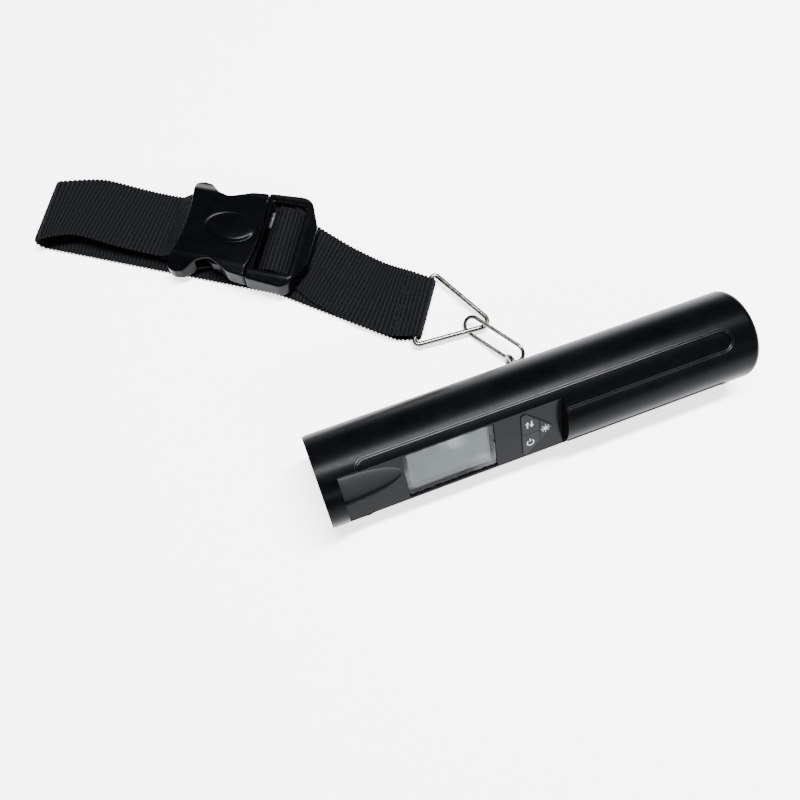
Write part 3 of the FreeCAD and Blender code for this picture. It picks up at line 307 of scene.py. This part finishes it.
zinc, zinc_shader, begin = finish("zinc", Metallic=1.0)
blotches = begin.noise(600.0, 3.0).step(0.3, 0.7)
blotches.between((0.34, 0.34, 0.36), (0.5, 0.5, 0.52)).into(zinc_shader, "Base Color")
(begin.noise(900.0) * 0.25 + 0.25).into(zinc_shader, "Roughness")
screw_tree, given, add, close = node_tree("screw_rows", {"Length": "Float", "Width": "Float",
                                                         "Material": "Material"})
places = add("MeshGrid", Size_X=given["Length"], Size_Y=given["Width"], Vertices_X=3, Vertices_Y=2)
close(add("InstanceOnPoints", Points=places, Instance=given["Geometry"]))
screw_low, screw_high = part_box("cover_screws")
head_radius, head_tall, cross_arm, cross_half, cross_deep = 1.7 * mm, 0.8 * mm, 1.0 * mm, 0.22 * mm, 0.5 * mm
rows_long, rows_wide, rows_middle, head_seat = 82 * mm, 13.2 * mm, -25 * mm, -13.4 * mm
screws = grow(screw_tree, screw_head(head_radius, head_tall, cross_arm, cross_half, cross_deep),
              Length=rows_long, Width=rows_wide, Material=zinc)
face_back = Matrix.Rotation(math.pi, 4, "X")
screws_place = handle_place @ Matrix.Translation((rows_middle, 0, head_seat)) @ face_back
screws.transform(screws_place)
piece("screw_heads", smooth(screws, 30), "handle", "screw_steel", "cover_screws")

# ---- Grip strips and their lips ----
# Two smooth black inlays lie in grooves along the tube, a little below its surface. A fine
# moulded bead runs round each groove as far as the display panel.

strip_black = moulded("strip_black", (0.0007, 0.0008, 0.001), (0.0013, 0.0014, 0.0017), 0.3, grain=0.12,
                      gloss=0.03)
cover_with(strip_black, "grip_strip_upper", "grip_strip_lower")

tube_radius, strip_angle, strip_half = 16.5, math.radians(41.5), 3.5
strip_left, strip_right, panel_right = -67.5, 69.5, 6.0
bead_lines, bead_radius = (0.0, 0.75), 0.26 * mm


def groove_line(side, grown):
    """Points along a groove's edge, from the panel round the right end to the panel again."""
    half, flat = strip_half + grown, []
    flat.append((panel_right, -half))
    for turn in range(-90, 91, 10):
        angle = math.radians(turn)
        flat.append((strip_right - strip_half + half * math.cos(angle), half * math.sin(angle)))
    for turn in range(90, 166, 10):
        angle = math.radians(turn)
        flat.append((strip_left + strip_half + half * math.cos(angle), half * math.sin(angle)))
    points = []
    for x, w in flat:
        angle = strip_angle + w / tube_radius
        points.append(Vector((x, side * tube_radius * math.sin(angle), tube_radius * math.cos(angle))) * mm)
    return points


bead_black = moulded("bead_black", (0.002, 0.0022, 0.0026), (0.004, 0.0043, 0.005), 0.25, grain=0.05,
                     gloss=0.1)
bead_tree, given, add, close = node_tree("groove_bead", {"Radius": "Float", "Material": "Material"})
line = add("MeshToCurve", Mesh=given["Geometry"])
round_wire = add("CurvePrimitiveCircle", Resolution=8, Radius=given["Radius"])
close(add("CurveToMesh", Curve=line, Profile_Curve=round_wire, Fill_Caps=True))
for name, side in (("upper", 1), ("lower", -1)):
    seed = bpy.data.meshes.new("groove_line")
    points, lines = [], []
    for grown in bead_lines:
        run = groove_line(side, grown)
        lines += [(len(points) + n, len(points) + n + 1) for n in range(len(run) - 1)]
        points += run
    seed.from_pydata([tuple(point) for point in points], lines, [])
    bead = grow(bead_tree, seed, Radius=bead_radius, Material=bead_black)
    bead.transform(handle_place)
    piece(f"groove_bead_{name}", smooth(bead), "handle", "grip_plastic")

# ---- Display: panel, lens, glass and what lies under it ----
# A satin dark panel sits flush in the facet, with a dished scoop for the thumb. A clear lens is
# set in its window over the liquid crystal glass, which rests in a frame on the backlight.

panel_dark = moulded("panel_dark", (0.0022, 0.0023, 0.0026), (0.0034, 0.0035, 0.004), 0.2, grain=0.08,
                     gloss=0.045)
cover_with(panel_dark, "display_panel")
clear = bpy.data.materials.new("clear_plastic")
clear.use_nodes = True
clear.node_tree.nodes.remove(clear.node_tree.nodes["Principled BSDF"])
begin = Value(clear.node_tree)
mirror = begin.node("ShaderNodeBsdfAnisotropic", Color=(1, 1, 1, 1), Roughness=0.06)
through = begin.node("ShaderNodeBsdfTransparent", Color=(0.93, 0.97, 0.96, 1))
smeared = begin.node("ShaderNodeFresnel", IOR=1.16) + begin.noise(60.0, 3.0).step(0.5, 0.75) * 0.04
mixed = begin.node("ShaderNodeMixShader", i0=smeared, i1=through, i2=mirror)
clear.node_tree.links.new(mixed.socket, clear.node_tree.nodes["Material Output"].inputs["Surface"])
cover_with(clear, "display_lens")

glass, glass_shader, begin = finish("crystal_glass", Specular_IOR_Level=0.1)
# The glass's colour is lighter in soft patches: partly a milky haze in its film, partly a painted reflection laid
# on the glass. The roughness follows the same patches.
haze_and_painted_glare = begin.noise(75.0, 2.0).step(0.4, 0.6)
haze_and_painted_glare.between((0.009, 0.0125, 0.0118), (0.034, 0.04, 0.0385)).into(glass_shader, "Base Color")
(0.25 + haze_and_painted_glare * 0.15).into(glass_shader, "Roughness")
cover_with(glass, "display_glass")
cover_with(moulded("frame_black", (0.01, 0.01, 0.01), (0.02, 0.02, 0.02), 0.5), "display_frame", "battery_tray")
cover_with(moulded("milky", (0.7, 0.71, 0.68), (0.78, 0.79, 0.76), 0.35, grain=0.05), "backlight")
cover_with(moulded("soft_rubber", (0.2, 0.2, 0.21), (0.3, 0.3, 0.31), 0.7), "contact_strips")

# ---- Circuit board, chips, switches and their screws ----
# Green solder mask over glass fibre, with black chips, three tact switches and four small screws.

board_green, board_shader, begin = finish("board_green", Coat_Weight=0.3)
tracks = begin.noise(300.0, 5.0).step(0.45, 0.55)
tracks.between((0.012, 0.1, 0.04), (0.02, 0.17, 0.07)).into(board_shader, "Base Color")
(begin.noise(700.0) * 0.2 + 0.3).into(board_shader, "Roughness")
cover_with(board_green, "circuit_board")
chip_black = moulded("chip_black", (0.012, 0.012, 0.012), (0.022, 0.022, 0.022), 0.55)
cover_with(chip_black, "board_chips", "key_switches")
cover_with(zinc, "board_screws", "load_cell_screws", "eye_nut")

# ---- Key caps and their marks ----
# Three satin caps cut from one rounded triangle, dark grey-green, with raised pale marks: a pair
# of arrows to change the unit, a ring and bar for power, and a small sun for the light.

key_green = moulded("key_green", (0.007, 0.0085, 0.0075), (0.011, 0.0125, 0.011), 0.36, grain=0.2, gloss=0.05)
cover_with(key_green, "key_unit", "key_power", "key_light")
mark_white = moulded("mark_white", (0.28, 0.29, 0.285), (0.36, 0.37, 0.365), 0.5, grain=0.1, gloss=0.3)
key_top, mark_rise, mark_sunk = 12.31, 0.08, 0.02


def mark_mesh(name, outlines, centre):
    """Flat shapes given in millimetres round a point of the key top, raised a little."""
    shape = bmesh.new()
    for outline in outlines:
        low = [shape.verts.new((centre[0] + x, centre[1] + y, key_top - mark_sunk)) for x, y in outline]
        face = shape.faces.new(low)
        grown = bmesh.ops.extrude_face_region(shape, geom=[face])
        raised = [item for item in grown["geom"] if isinstance(item, bmesh.types.BMVert)]
        bmesh.ops.translate(shape, verts=raised, vec=(0, 0, mark_rise + mark_sunk))
    bmesh.ops.recalc_face_normals(shape, faces=shape.faces)
    bmesh.ops.triangulate(shape, faces=[face for face in shape.faces if len(face.verts) > 4])
    mesh = bpy.data.meshes.new(name)
    shape.to_mesh(mesh)
    mesh.materials.append(mark_white)
    mesh.transform(handle_place @ Matrix.Scale(mm, 4))
    return mesh


def arc_band(inner, outer, start, end, steps):
    """Curved bars between two angles in degrees, as short four-sided pieces."""
    bars = []
    for n in range(steps):
        a, b = (math.radians(start + (end - start) * place / steps) for place in (n, n + 1))
        bars.append([(inner * math.cos(a), inner * math.sin(a)), (outer * math.cos(a), outer * math.sin(a)),
                     (outer * math.cos(b), outer * math.sin(b)), (inner * math.cos(b), inner * math.sin(b))])
    return bars


def turned_shape(outline, degrees, shift=(0, 0)):
    angle = math.radians(degrees)
    cosine, sine = math.cos(angle), math.sin(angle)
    return [(x * cosine - y * sine + shift[0], x * sine + y * cosine + shift[1]) for x, y in outline]


arrow = [(-0.22, -1.5), (0.22, -1.5), (0.22, 0.3), (0.75, 0.3), (0, 1.5), (-0.75, 0.3), (-0.22, 0.3)]
unit_marks = [turned_shape(arrow, 0, (-0.8, 0)), turned_shape(arrow, 180, (0.8, 0))]
power_marks = arc_band(1.05, 1.45, 130, 410, 14) + [[(-0.2, 0.5), (0.2, 0.5), (0.2, 1.9), (-0.2, 1.9)]]
disc = [(0.75 * math.cos(math.tau * n / 12), 0.75 * math.sin(math.tau * n / 12)) for n in range(12)]
ray = [(-0.13, 1.0), (0.13, 1.0), (0.09, 1.7), (-0.09, 1.7)]
sun_marks = [disc] + [turned_shape(ray, 45 * n) for n in range(8)]
for name, marks, centre in (("unit", unit_marks, (-7.1, 4.4)), ("power", power_marks, (-7.1, -4.4)),
                            ("light", sun_marks, (-1.3, 0.0))):
    piece(f"{name}_mark", mark_mesh(f"{name}_mark", marks, centre), f"{name}_key", "key_plastic")

# ---- Load cell, eye, link and ring ----
# A milled aluminium beam with foil gauges carries the eye. Eye, link and ring are bent steel
# wire, closed by a butt weld and nickel plated, a warm grey with fine drawing marks.

alloy, alloy_shader, begin = finish("alloy", Metallic=1.0)
milled = begin.noise(420.0, 3.0).step(0.3, 0.7)
milled.between((0.6, 0.6, 0.61), (0.74, 0.74, 0.75)).into(alloy_shader, "Base Color")
(begin.noise(1500.0) * 0.3 + 0.2).into(alloy_shader, "Roughness")
cover_with(alloy, "load_cell", "battery_contacts", "battery_springs")
cover_with(moulded("gauge_amber", (0.4, 0.2, 0.05), (0.5, 0.27, 0.08), 0.35), "strain_gauges")
nickel, nickel_shader, begin = finish("nickel", Metallic=1.0)
dull = begin.noise(420.0, 4.0)
dull.step(0.3, 0.8).between((0.11, 0.103, 0.088), (0.16, 0.152, 0.133)).into(nickel_shader, "Base Color")
(dull * 0.24 + 0.14).into(nickel_shader, "Roughness")
(begin.noise(2600.0) + dull).bump(0.25, 0.00003).into(nickel_shader, "Normal")
cover_with(nickel, "load_eye", "carry_link", "strap_ring")

# ---- Cells ----
# Two AAA cells lie head to tail in the tray, in plain dark sleeves.

sleeve, sleeve_shader, begin = finish("cell_sleeve", Coat_Weight=0.5)
along_cell = begin.node("ShaderNodeSeparateXYZ", Vector=begin.node("ShaderNodeTexCoord", out=3))
stripes = (along_cell * 700.0 + begin.noise(50.0)).wave().step(-0.2, 0.2)
stripes.between((0.03, 0.034, 0.045), (0.1, 0.105, 0.12)).into(sleeve_shader, "Base Color")
(begin.noise(500.0) * 0.2 + 0.2).into(sleeve_shader, "Roughness")
cover_with(sleeve, "battery_front", "battery_rear")

# ---- Webbing ----
# Black polypropylene webbing, 30 mm wide. It leaves the plug, turns round the ring base, runs
# along the table, folds back on itself and is sewn round the bar of the socket.

joints = {joint["name"]: joint for joint in frame["joints"]}
ring_base = Vector(joints["strap_swing"]["pos_m"])
far_way = Vector(joints["strap_swing"]["axis"])
ring_way = Vector((-far_way.y, far_way.x, 0))
up = Vector((0, 0, 1))
buckle_way = Vector(joints["buckle_release"]["axis"])
buckle_far = Vector((-buckle_way.y, buckle_way.x, 0))
root_from_mid = 2.6 * mm
prong_roots = [Vector(joints[f"prong_{name}_squeeze"]["pos_m"]) for name in ("upper", "lower")]
buckle_mid = (prong_roots[0] + prong_roots[1]) / 2 - buckle_way * root_from_mid
buckle_mid.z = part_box("buckle_plug")[0].z
web_half, web_thick = 15.0, 1.3
fold_low, fold_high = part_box("webbing_fold")
fold_mid = (fold_low + fold_high) / 2 + Vector((1.92, -0.7, 0)) * mm
fold_mid.z = 0


def at_buckle(x, y, z):
    return buckle_mid + (buckle_way * x + buckle_far * y + up * z) * mm


def heading_far(degrees):
    """Unit vector to the far edge of webbing that runs on a heading."""
    return Vector((math.sin(math.radians(degrees)), -math.cos(math.radians(degrees)), 0))


def level_station(mid, degrees, near_z, far_z, soft=1.0):
    """Near and far edge of the webbing at a place, with each edge at its own height."""
    aside = heading_far(degrees) * web_half * mm
    flat = Vector((mid.x, mid.y, 0))
    return flat - aside + up * near_z * mm, flat + aside + up * far_z * mm, soft


def beside(first, last, share, aside):
    way = Vector((last.x - first.x, last.y - first.y, 0))
    return Vector((first.x, first.y, 0)) + way * share + Vector((-way.y, way.x, 0)).normalized() * aside * mm


ring_mid = Vector((ring_base.x, ring_base.y, 0))
low_end, high_end = ring_mid + ring_way * 7 * mm, ring_mid + ring_way * 9 * mm
plug_exit = at_buckle(22, 0, 0)
ring_heading, low_level, second_level, ring_level = 145.3, 0.95, 2.45, 4.3
path = [level_station(plug_exit, 142, second_level, second_level),
        level_station(beside(plug_exit, high_end, 0.35, -2.0), 132, second_level, second_level),
        level_station(beside(plug_exit, high_end, 0.71, -1.8), 135, second_level + 0.15, second_level + 0.15),
        level_station(high_end, ring_heading, ring_level, ring_level)]
loop_radius, pinched = 1.8, 13.4
for turn in range(0, 181, 15):
    angle = math.radians(turn)
    normal = up * math.cos(angle) - ring_way * math.sin(angle)
    centre = ring_base + normal * loop_radius * mm
    path.append((centre - far_way * pinched * mm, centre + far_way * pinched * mm, 0.02))
path.append(level_station(low_end, ring_heading, low_level, low_level))
path.append(level_station(beside(fold_mid, low_end, 0.664, 6.4), 142.5, low_level, low_level))
fold_heading, fold_near, fold_far = 154, 3.7, 2.6
path.append(level_station(fold_mid, fold_heading, low_level, low_level))
outward = Vector((math.cos(math.radians(fold_heading)), math.sin(math.radians(fold_heading)), 0))
for turn in range(15, 181, 15):
    angle = math.radians(turn)
    swing = up - up * math.cos(angle) + outward * math.sin(angle)
    near, far, soft = level_station(fold_mid, fold_heading, low_level, low_level)
    path.append((near + swing * fold_near * mm, far + swing * fold_far * mm, 0.1))
sewn_end = at_buckle(-31.5, 0, 0)
upper_run = ((0.14, 2.2, 147, 8.4, 5.9), (0.29, 4.3, 144, 8.0, 5.2), (0.69, 1.3, 142, 7.0, 4.8))
for share, aside, heading, near_z, far_z in upper_run:
    path.append(level_station(beside(fold_mid, sewn_end, share, aside), heading, near_z, far_z))
path.append(level_station(sewn_end, 147.7, 6.0, 4.6))
bar_mid, bar_turn = at_buckle(-23.6, 0, 4.4), 2.3
for turn in range(-30, 181, 15):
    angle = math.radians(turn)
    normal = up * math.cos(angle) + buckle_way * math.sin(angle)
    centre = bar_mid + normal * bar_turn * mm
    aside = buckle_far * web_half * mm
    path.append((centre - aside, centre + aside, 0.02))
path.append(level_station(sewn_end, 147.7, 4.6, 3.2))
weave_along, weave_across, rows_each = 1.6, 2.5, 4


def even_rows(path, spacing, passes):
    """The path's two edges at equal steps along its middle, softened where the cloth runs free."""
    rows, left = [], 0.0
    for (near_a, far_a, soft_a), (near_b, far_b, soft_b) in zip(path, path[1:]):
        length = ((near_b + far_b) / 2 - (near_a + far_a) / 2).length
        place = left
        while place < length:
            share = place / length
            rows.append((near_a.lerp(near_b, share), far_a.lerp(far_b, share), min(soft_a, soft_b)))
            place += spacing
        left = place - length
    rows.append(path[-1])
    near, far, soft = ([row[n] for row in rows] for n in range(3))
    for _ in range(passes):
        for edge in (near, far):
            middle = [(edge[n - 1] + edge[n + 1]) / 2 for n in range(1, len(edge) - 1)]
            inner = zip(edge[1:-1], middle, soft[1:-1])
            edge[1:-1] = [old.lerp(new, share) for old, new, share in inner]
    return near, far


def woven_band(name, near, far, material):
    """A closed band with the weave as real relief, waved selvedges and a map in weave repeats."""
    columns = 48
    count = len(near)
    along = 0.0
    tops, bottoms, maps = [], [], []
    for n in range(count):
        before, after = max(n - 1, 0), min(n + 1, count - 1)
        run = (near[after] + far[after] - near[before] - far[before]).normalized()
        across = (far[n] - near[n]).normalized()
        normal = run.cross(across).normalized()
        if n:
            along += ((near[n] + far[n]) / 2 - (near[n - 1] + far[n - 1]) / 2).length / mm
        phase = math.pi * along / (weave_along / 2)
        for column in range(columns + 1):
            share = column / columns
            place = near[n].lerp(far[n], share)
            from_edge = min(share, 1 - share) * 2 * web_half
            if column in (0, columns):
                outside = 0.22 * math.cos(phase) - 0.1
                place = place + across * (outside if column else -outside) * mm
            yarn = math.cos(phase) * math.cos(math.pi * share * 2 * web_half / (weave_across / 2))
            half = web_thick / 2 * (0.42 + 0.58 * min(from_edge / 0.9, 1)) - 0.1
            relief = 0.05 * yarn + 0.14 * math.cos(phase)
            tops.append(place + normal * (half + relief) * mm)
            bottoms.append(place - normal * (half - relief * 0.9) * mm)
            maps.append((along / weave_along, share * 2 * web_half / weave_across))
    wide, total = columns + 1, len(tops)
    faces = []
    for n in range(count - 1):
        for column in range(columns):
            a = n * wide + column
            b, c, d = a + 1, a + wide + 1, a + wide
            faces.append((a, b, c, d)[::-1])
            faces.append((a + total, b + total, c + total, d + total))
        for column, flip in ((0, 1), (columns, -1)):
            a = n * wide + column
            faces.append((a, a + wide, a + wide + total, a + total)[::-flip])
    for first, flip in ((0, -1), ((count - 1) * wide, 1)):
        for column in range(columns):
            a = first + column
            faces.append((a, a + 1, a + 1 + total, a + total)[::flip])
    mesh = plain_mesh(name, tops + bottoms, faces)
    uv = mesh.uv_layers.new(name="weave")
    corners = [maps[loop.vertex_index % total] for loop in mesh.loops]
    uv.data.foreach_set("uv", [number for corner in corners for number in corner])
    mesh.materials.append(material)
    mesh.polygons.foreach_set("use_smooth", [True] * len(mesh.polygons))
    mesh.validate()
    return mesh


webbing, web_shader, begin = finish("webbing_black", Specular_IOR_Level=0.05)
repeat = begin.node("ShaderNodeUVMap", {"uv_map": "weave"})
repeat_along = begin.node("ShaderNodeSeparateXYZ", Vector=repeat)
repeat_across = begin.node("ShaderNodeSeparateXYZ", out=1, Vector=repeat)
ribs = (repeat_along * math.tau + math.pi / 2).wave()
yarns = ribs * 0.65 + ribs * (repeat_across * math.tau + math.pi / 2).wave() * 0.35
fibres = (repeat_across * 88.0 + begin.noise(900.0) * 9.0 + repeat_along * 30.0).wave()
lint = begin.noise(1800.0, 4.0)
lift = yarns * 0.5 + 0.5
# Painted shade and light on the weave: the colour is darker in the grooves between the ribs and lighter on their
# crests, with random lint tone mixed in.
painted_rib_shade_and_lint = (lift * 0.55 + lint * 0.8).step(0.4, 1.1)
painted_rib_shade_and_lint.between((0.0003, 0.0003, 0.0004), (0.0065, 0.0069, 0.0078)).into(web_shader, "Base Color")
(0.62 + lint * 0.3).into(web_shader, "Roughness")
(fibres * 0.3 + lint + yarns * 0.6).bump(0.5, 0.00012).into(web_shader, "Normal")

spacing = weave_along / rows_each * mm
near, far = even_rows(path, spacing, 60)
strap_mesh = woven_band("strap_webbing", near, far, webbing)
piece("strap_webbing", strap_mesh, "strap", "webbing", "webbing_ring_loop", "webbing_lower", "webbing_fold",
      "webbing_upper_left", "webbing_socket_loop", "webbing_upper_right")
threaded = [(at_buckle(x, -web_half, z), at_buckle(x, web_half, z), 0.25)
            for x, z in ((21.3, 2.0), (19.0, 4.2), (16.6, 6.4), (14.0, 7.1), (11.4, 6.4), (10.2, 4.6), (9.0, 2.4))]
near, far = even_rows(threaded[::-1], spacing, 20)
piece("plug_webbing", woven_band("plug_webbing", near, far, webbing), "plug", "webbing", "webbing_threaded")

# ---- Stitching ----
# Two rows of bonded black thread close the webbing by the ring. The seam at the socket bar
# isn't seen in the picture and isn't made.

thread = moulded("bonded_thread", (0.0008, 0.0008, 0.001), (0.003, 0.0032, 0.0036), 0.5, grain=0.6,
                 grain_scale=5000.0, gloss=0.06)
stitch_tree, given, add, close = node_tree("stitch_rows", {"Pitch": "Float", "Radius": "Float", "Length": "Float",
                                                           "Material": "Material"})
rows_curve = add("MeshToCurve", Mesh=given["Geometry"])
dots = add("ResampleCurve", {"mode": "LENGTH"}, Curve=rows_curve, Length=given["Pitch"])
bar = add("MeshCylinder", Vertices=6, Radius=given["Radius"], Depth=given["Length"])
align = stitch_tree.nodes.new("FunctionNodeAlignRotationToVector")
align.axis = "Z"
stitch_tree.links.new(add("InputTangent"), align.inputs["Vector"])
close(add("InstanceOnPoints", Points=dots, Instance=bar, Rotation=align.outputs[0]))
stitch_pitch, thread_radius, stitch_long = 1.9 * mm, 0.27 * mm, 1.5 * mm


def stitch_rows(name, lines, body):
    points, edges = [], []
    for first, last in lines:
        edges.append((len(points), len(points) + 1))
        points += [first, last]
    seed = bpy.data.meshes.new(name)
    seed.from_pydata([tuple(point) for point in points], edges, [])
    made = grow(stitch_tree, seed, Pitch=stitch_pitch, Radius=thread_radius, Length=stitch_long, Material=thread)
    piece(name, smooth(made, 60), body, "webbing")


def over_ring(distance, aside):
    above = ring_level + web_thick / 2 + 0.1
    return ring_mid + ring_way * distance * mm + far_way * aside * mm + up * above * mm


stitch_half = 12
stitch_lines = [(over_ring(place, -stitch_half), over_ring(place, stitch_half)) for place in (7.4, 9.2)]
stitch_rows("ring_stitches", stitch_lines, "strap")

# ---- Buckle: socket, plug and release prongs ----
# A side-release buckle in satin black acetal, moulded with rounded edges: a socket with flared
# wings and an oval boss, and a plug whose frame holds the threaded webbing.

buckle_black = moulded("buckle_black", deep_black, worn_black, 0.24, grain=0.08, gloss=0.035)
buckle_place = Matrix((buckle_way, buckle_far, up)).transposed().to_4x4()
buckle_place.translation = buckle_mid
buckle_top, socket_face, window_left = 8.8, 5.0, 8.0


def eased(value, low, high):
    share = min(max((value - low) / (high - low), 0), 1)
    return share * share * (3 - 2 * share)


def soften_socket(x, y, z):
    """Wings that fall away to their tips, a crowned top and a bowed face towards the plug."""
    raised = max(z - 1.5, 0) / (buckle_top - 1.5)
    wing_drop = 3.6 * eased(abs(y), 14.0, 22.5) * (1 - eased(x, -15, -9))
    side_drop = 1.5 * eased(abs(y), 14.5, 20.5) * eased(x, -12, -6)
    z -= raised * (wing_drop + side_drop)
    if abs(y) < web_half and z > 7.2:
        x += 1.6 * (1 - (y / web_half) ** 2) * (1 - eased(x, -26.0, -20.0))
    x += 1.9 * max(1 - (y / 16.0) ** 2, 0) * eased(x, 2.2, socket_face)
    from_boss = math.hypot((x + 5.5) / 9.0, y / 6.0)
    if z > buckle_top - 1.0:
        z -= 0.45 * math.exp(-(((from_boss - 1.1) / 0.07) ** 2))
    return x, y, z


def soften_plug(x, y, z):
    """A rounded right end, falling sides, and a face bowed like the socket's."""
    raised = max(z - 1.0, 0) / (buckle_top - 1.4)
    z -= raised * (2.6 * eased(x, 22.4, 28.6) + 1.5 * eased(abs(y), 16.6, 21.8))
    if socket_face < x < window_left:
        bowed = 1.9 * max(1 - (y / 16.0) ** 2, 0)
        x = window_left - (window_left - x) * (1 - bowed / 2.7)
    return x, y, z


def leave(x, y, z):
    return x, y, z


def remoulded(name, node, body, shaped, voxel, passes):
    """The CAD solid remade as one even skin in the buckle's own frame, shaped, then smoothed."""
    mesh = frame["nodes"][node].data.copy()
    mesh.transform(buckle_place.inverted())
    mesh.transform(Matrix.Scale(1 / mm, 4))
    shape = bmesh.new()
    shape.from_mesh(mesh)
    bmesh.ops.remove_doubles(shape, verts=shape.verts, dist=0.002)
    shape.to_mesh(mesh)
    shape.free()
    body_mesh = linked(name + "_raw", mesh)
    skin = body_mesh.modifiers.new("skin", "REMESH")
    skin.mode, skin.voxel_size, skin.adaptivity = "VOXEL", voxel, 0.0
    even = bpy.data.meshes.new_from_object(body_mesh.evaluated_get(bpy.context.evaluated_depsgraph_get()))
    body_mesh.modifiers.remove(skin)
    bpy.data.objects.remove(body_mesh)
    for vertex in even.vertices:
        vertex.co = shaped(*vertex.co)
    shape = bmesh.new()
    shape.from_mesh(even)
    for _ in range(passes):
        bmesh.ops.smooth_vert(shape, verts=shape.verts, factor=0.5, use_axis_x=True, use_axis_y=True,
                              use_axis_z=True)
    shape.to_mesh(even)
    shape.free()
    even.transform(buckle_place @ Matrix.Scale(mm, 4))
    even.materials.clear()
    even.materials.append(buckle_black)
    even.polygons.foreach_set("use_smooth", [True] * len(even.polygons))
    piece(name, even, body, "buckle_plastic", node)


remoulded("socket_moulding", "buckle_socket", "strap", soften_socket, 0.3, 5)
remoulded("plug_moulding", "buckle_plug", "plug", soften_plug, 0.3, 5)
remoulded("upper_prong_moulding", "release_prong_upper", "prong_upper", leave, 0.25, 4)
remoulded("lower_prong_moulding", "release_prong_lower", "prong_lower", leave, 0.25, 4)
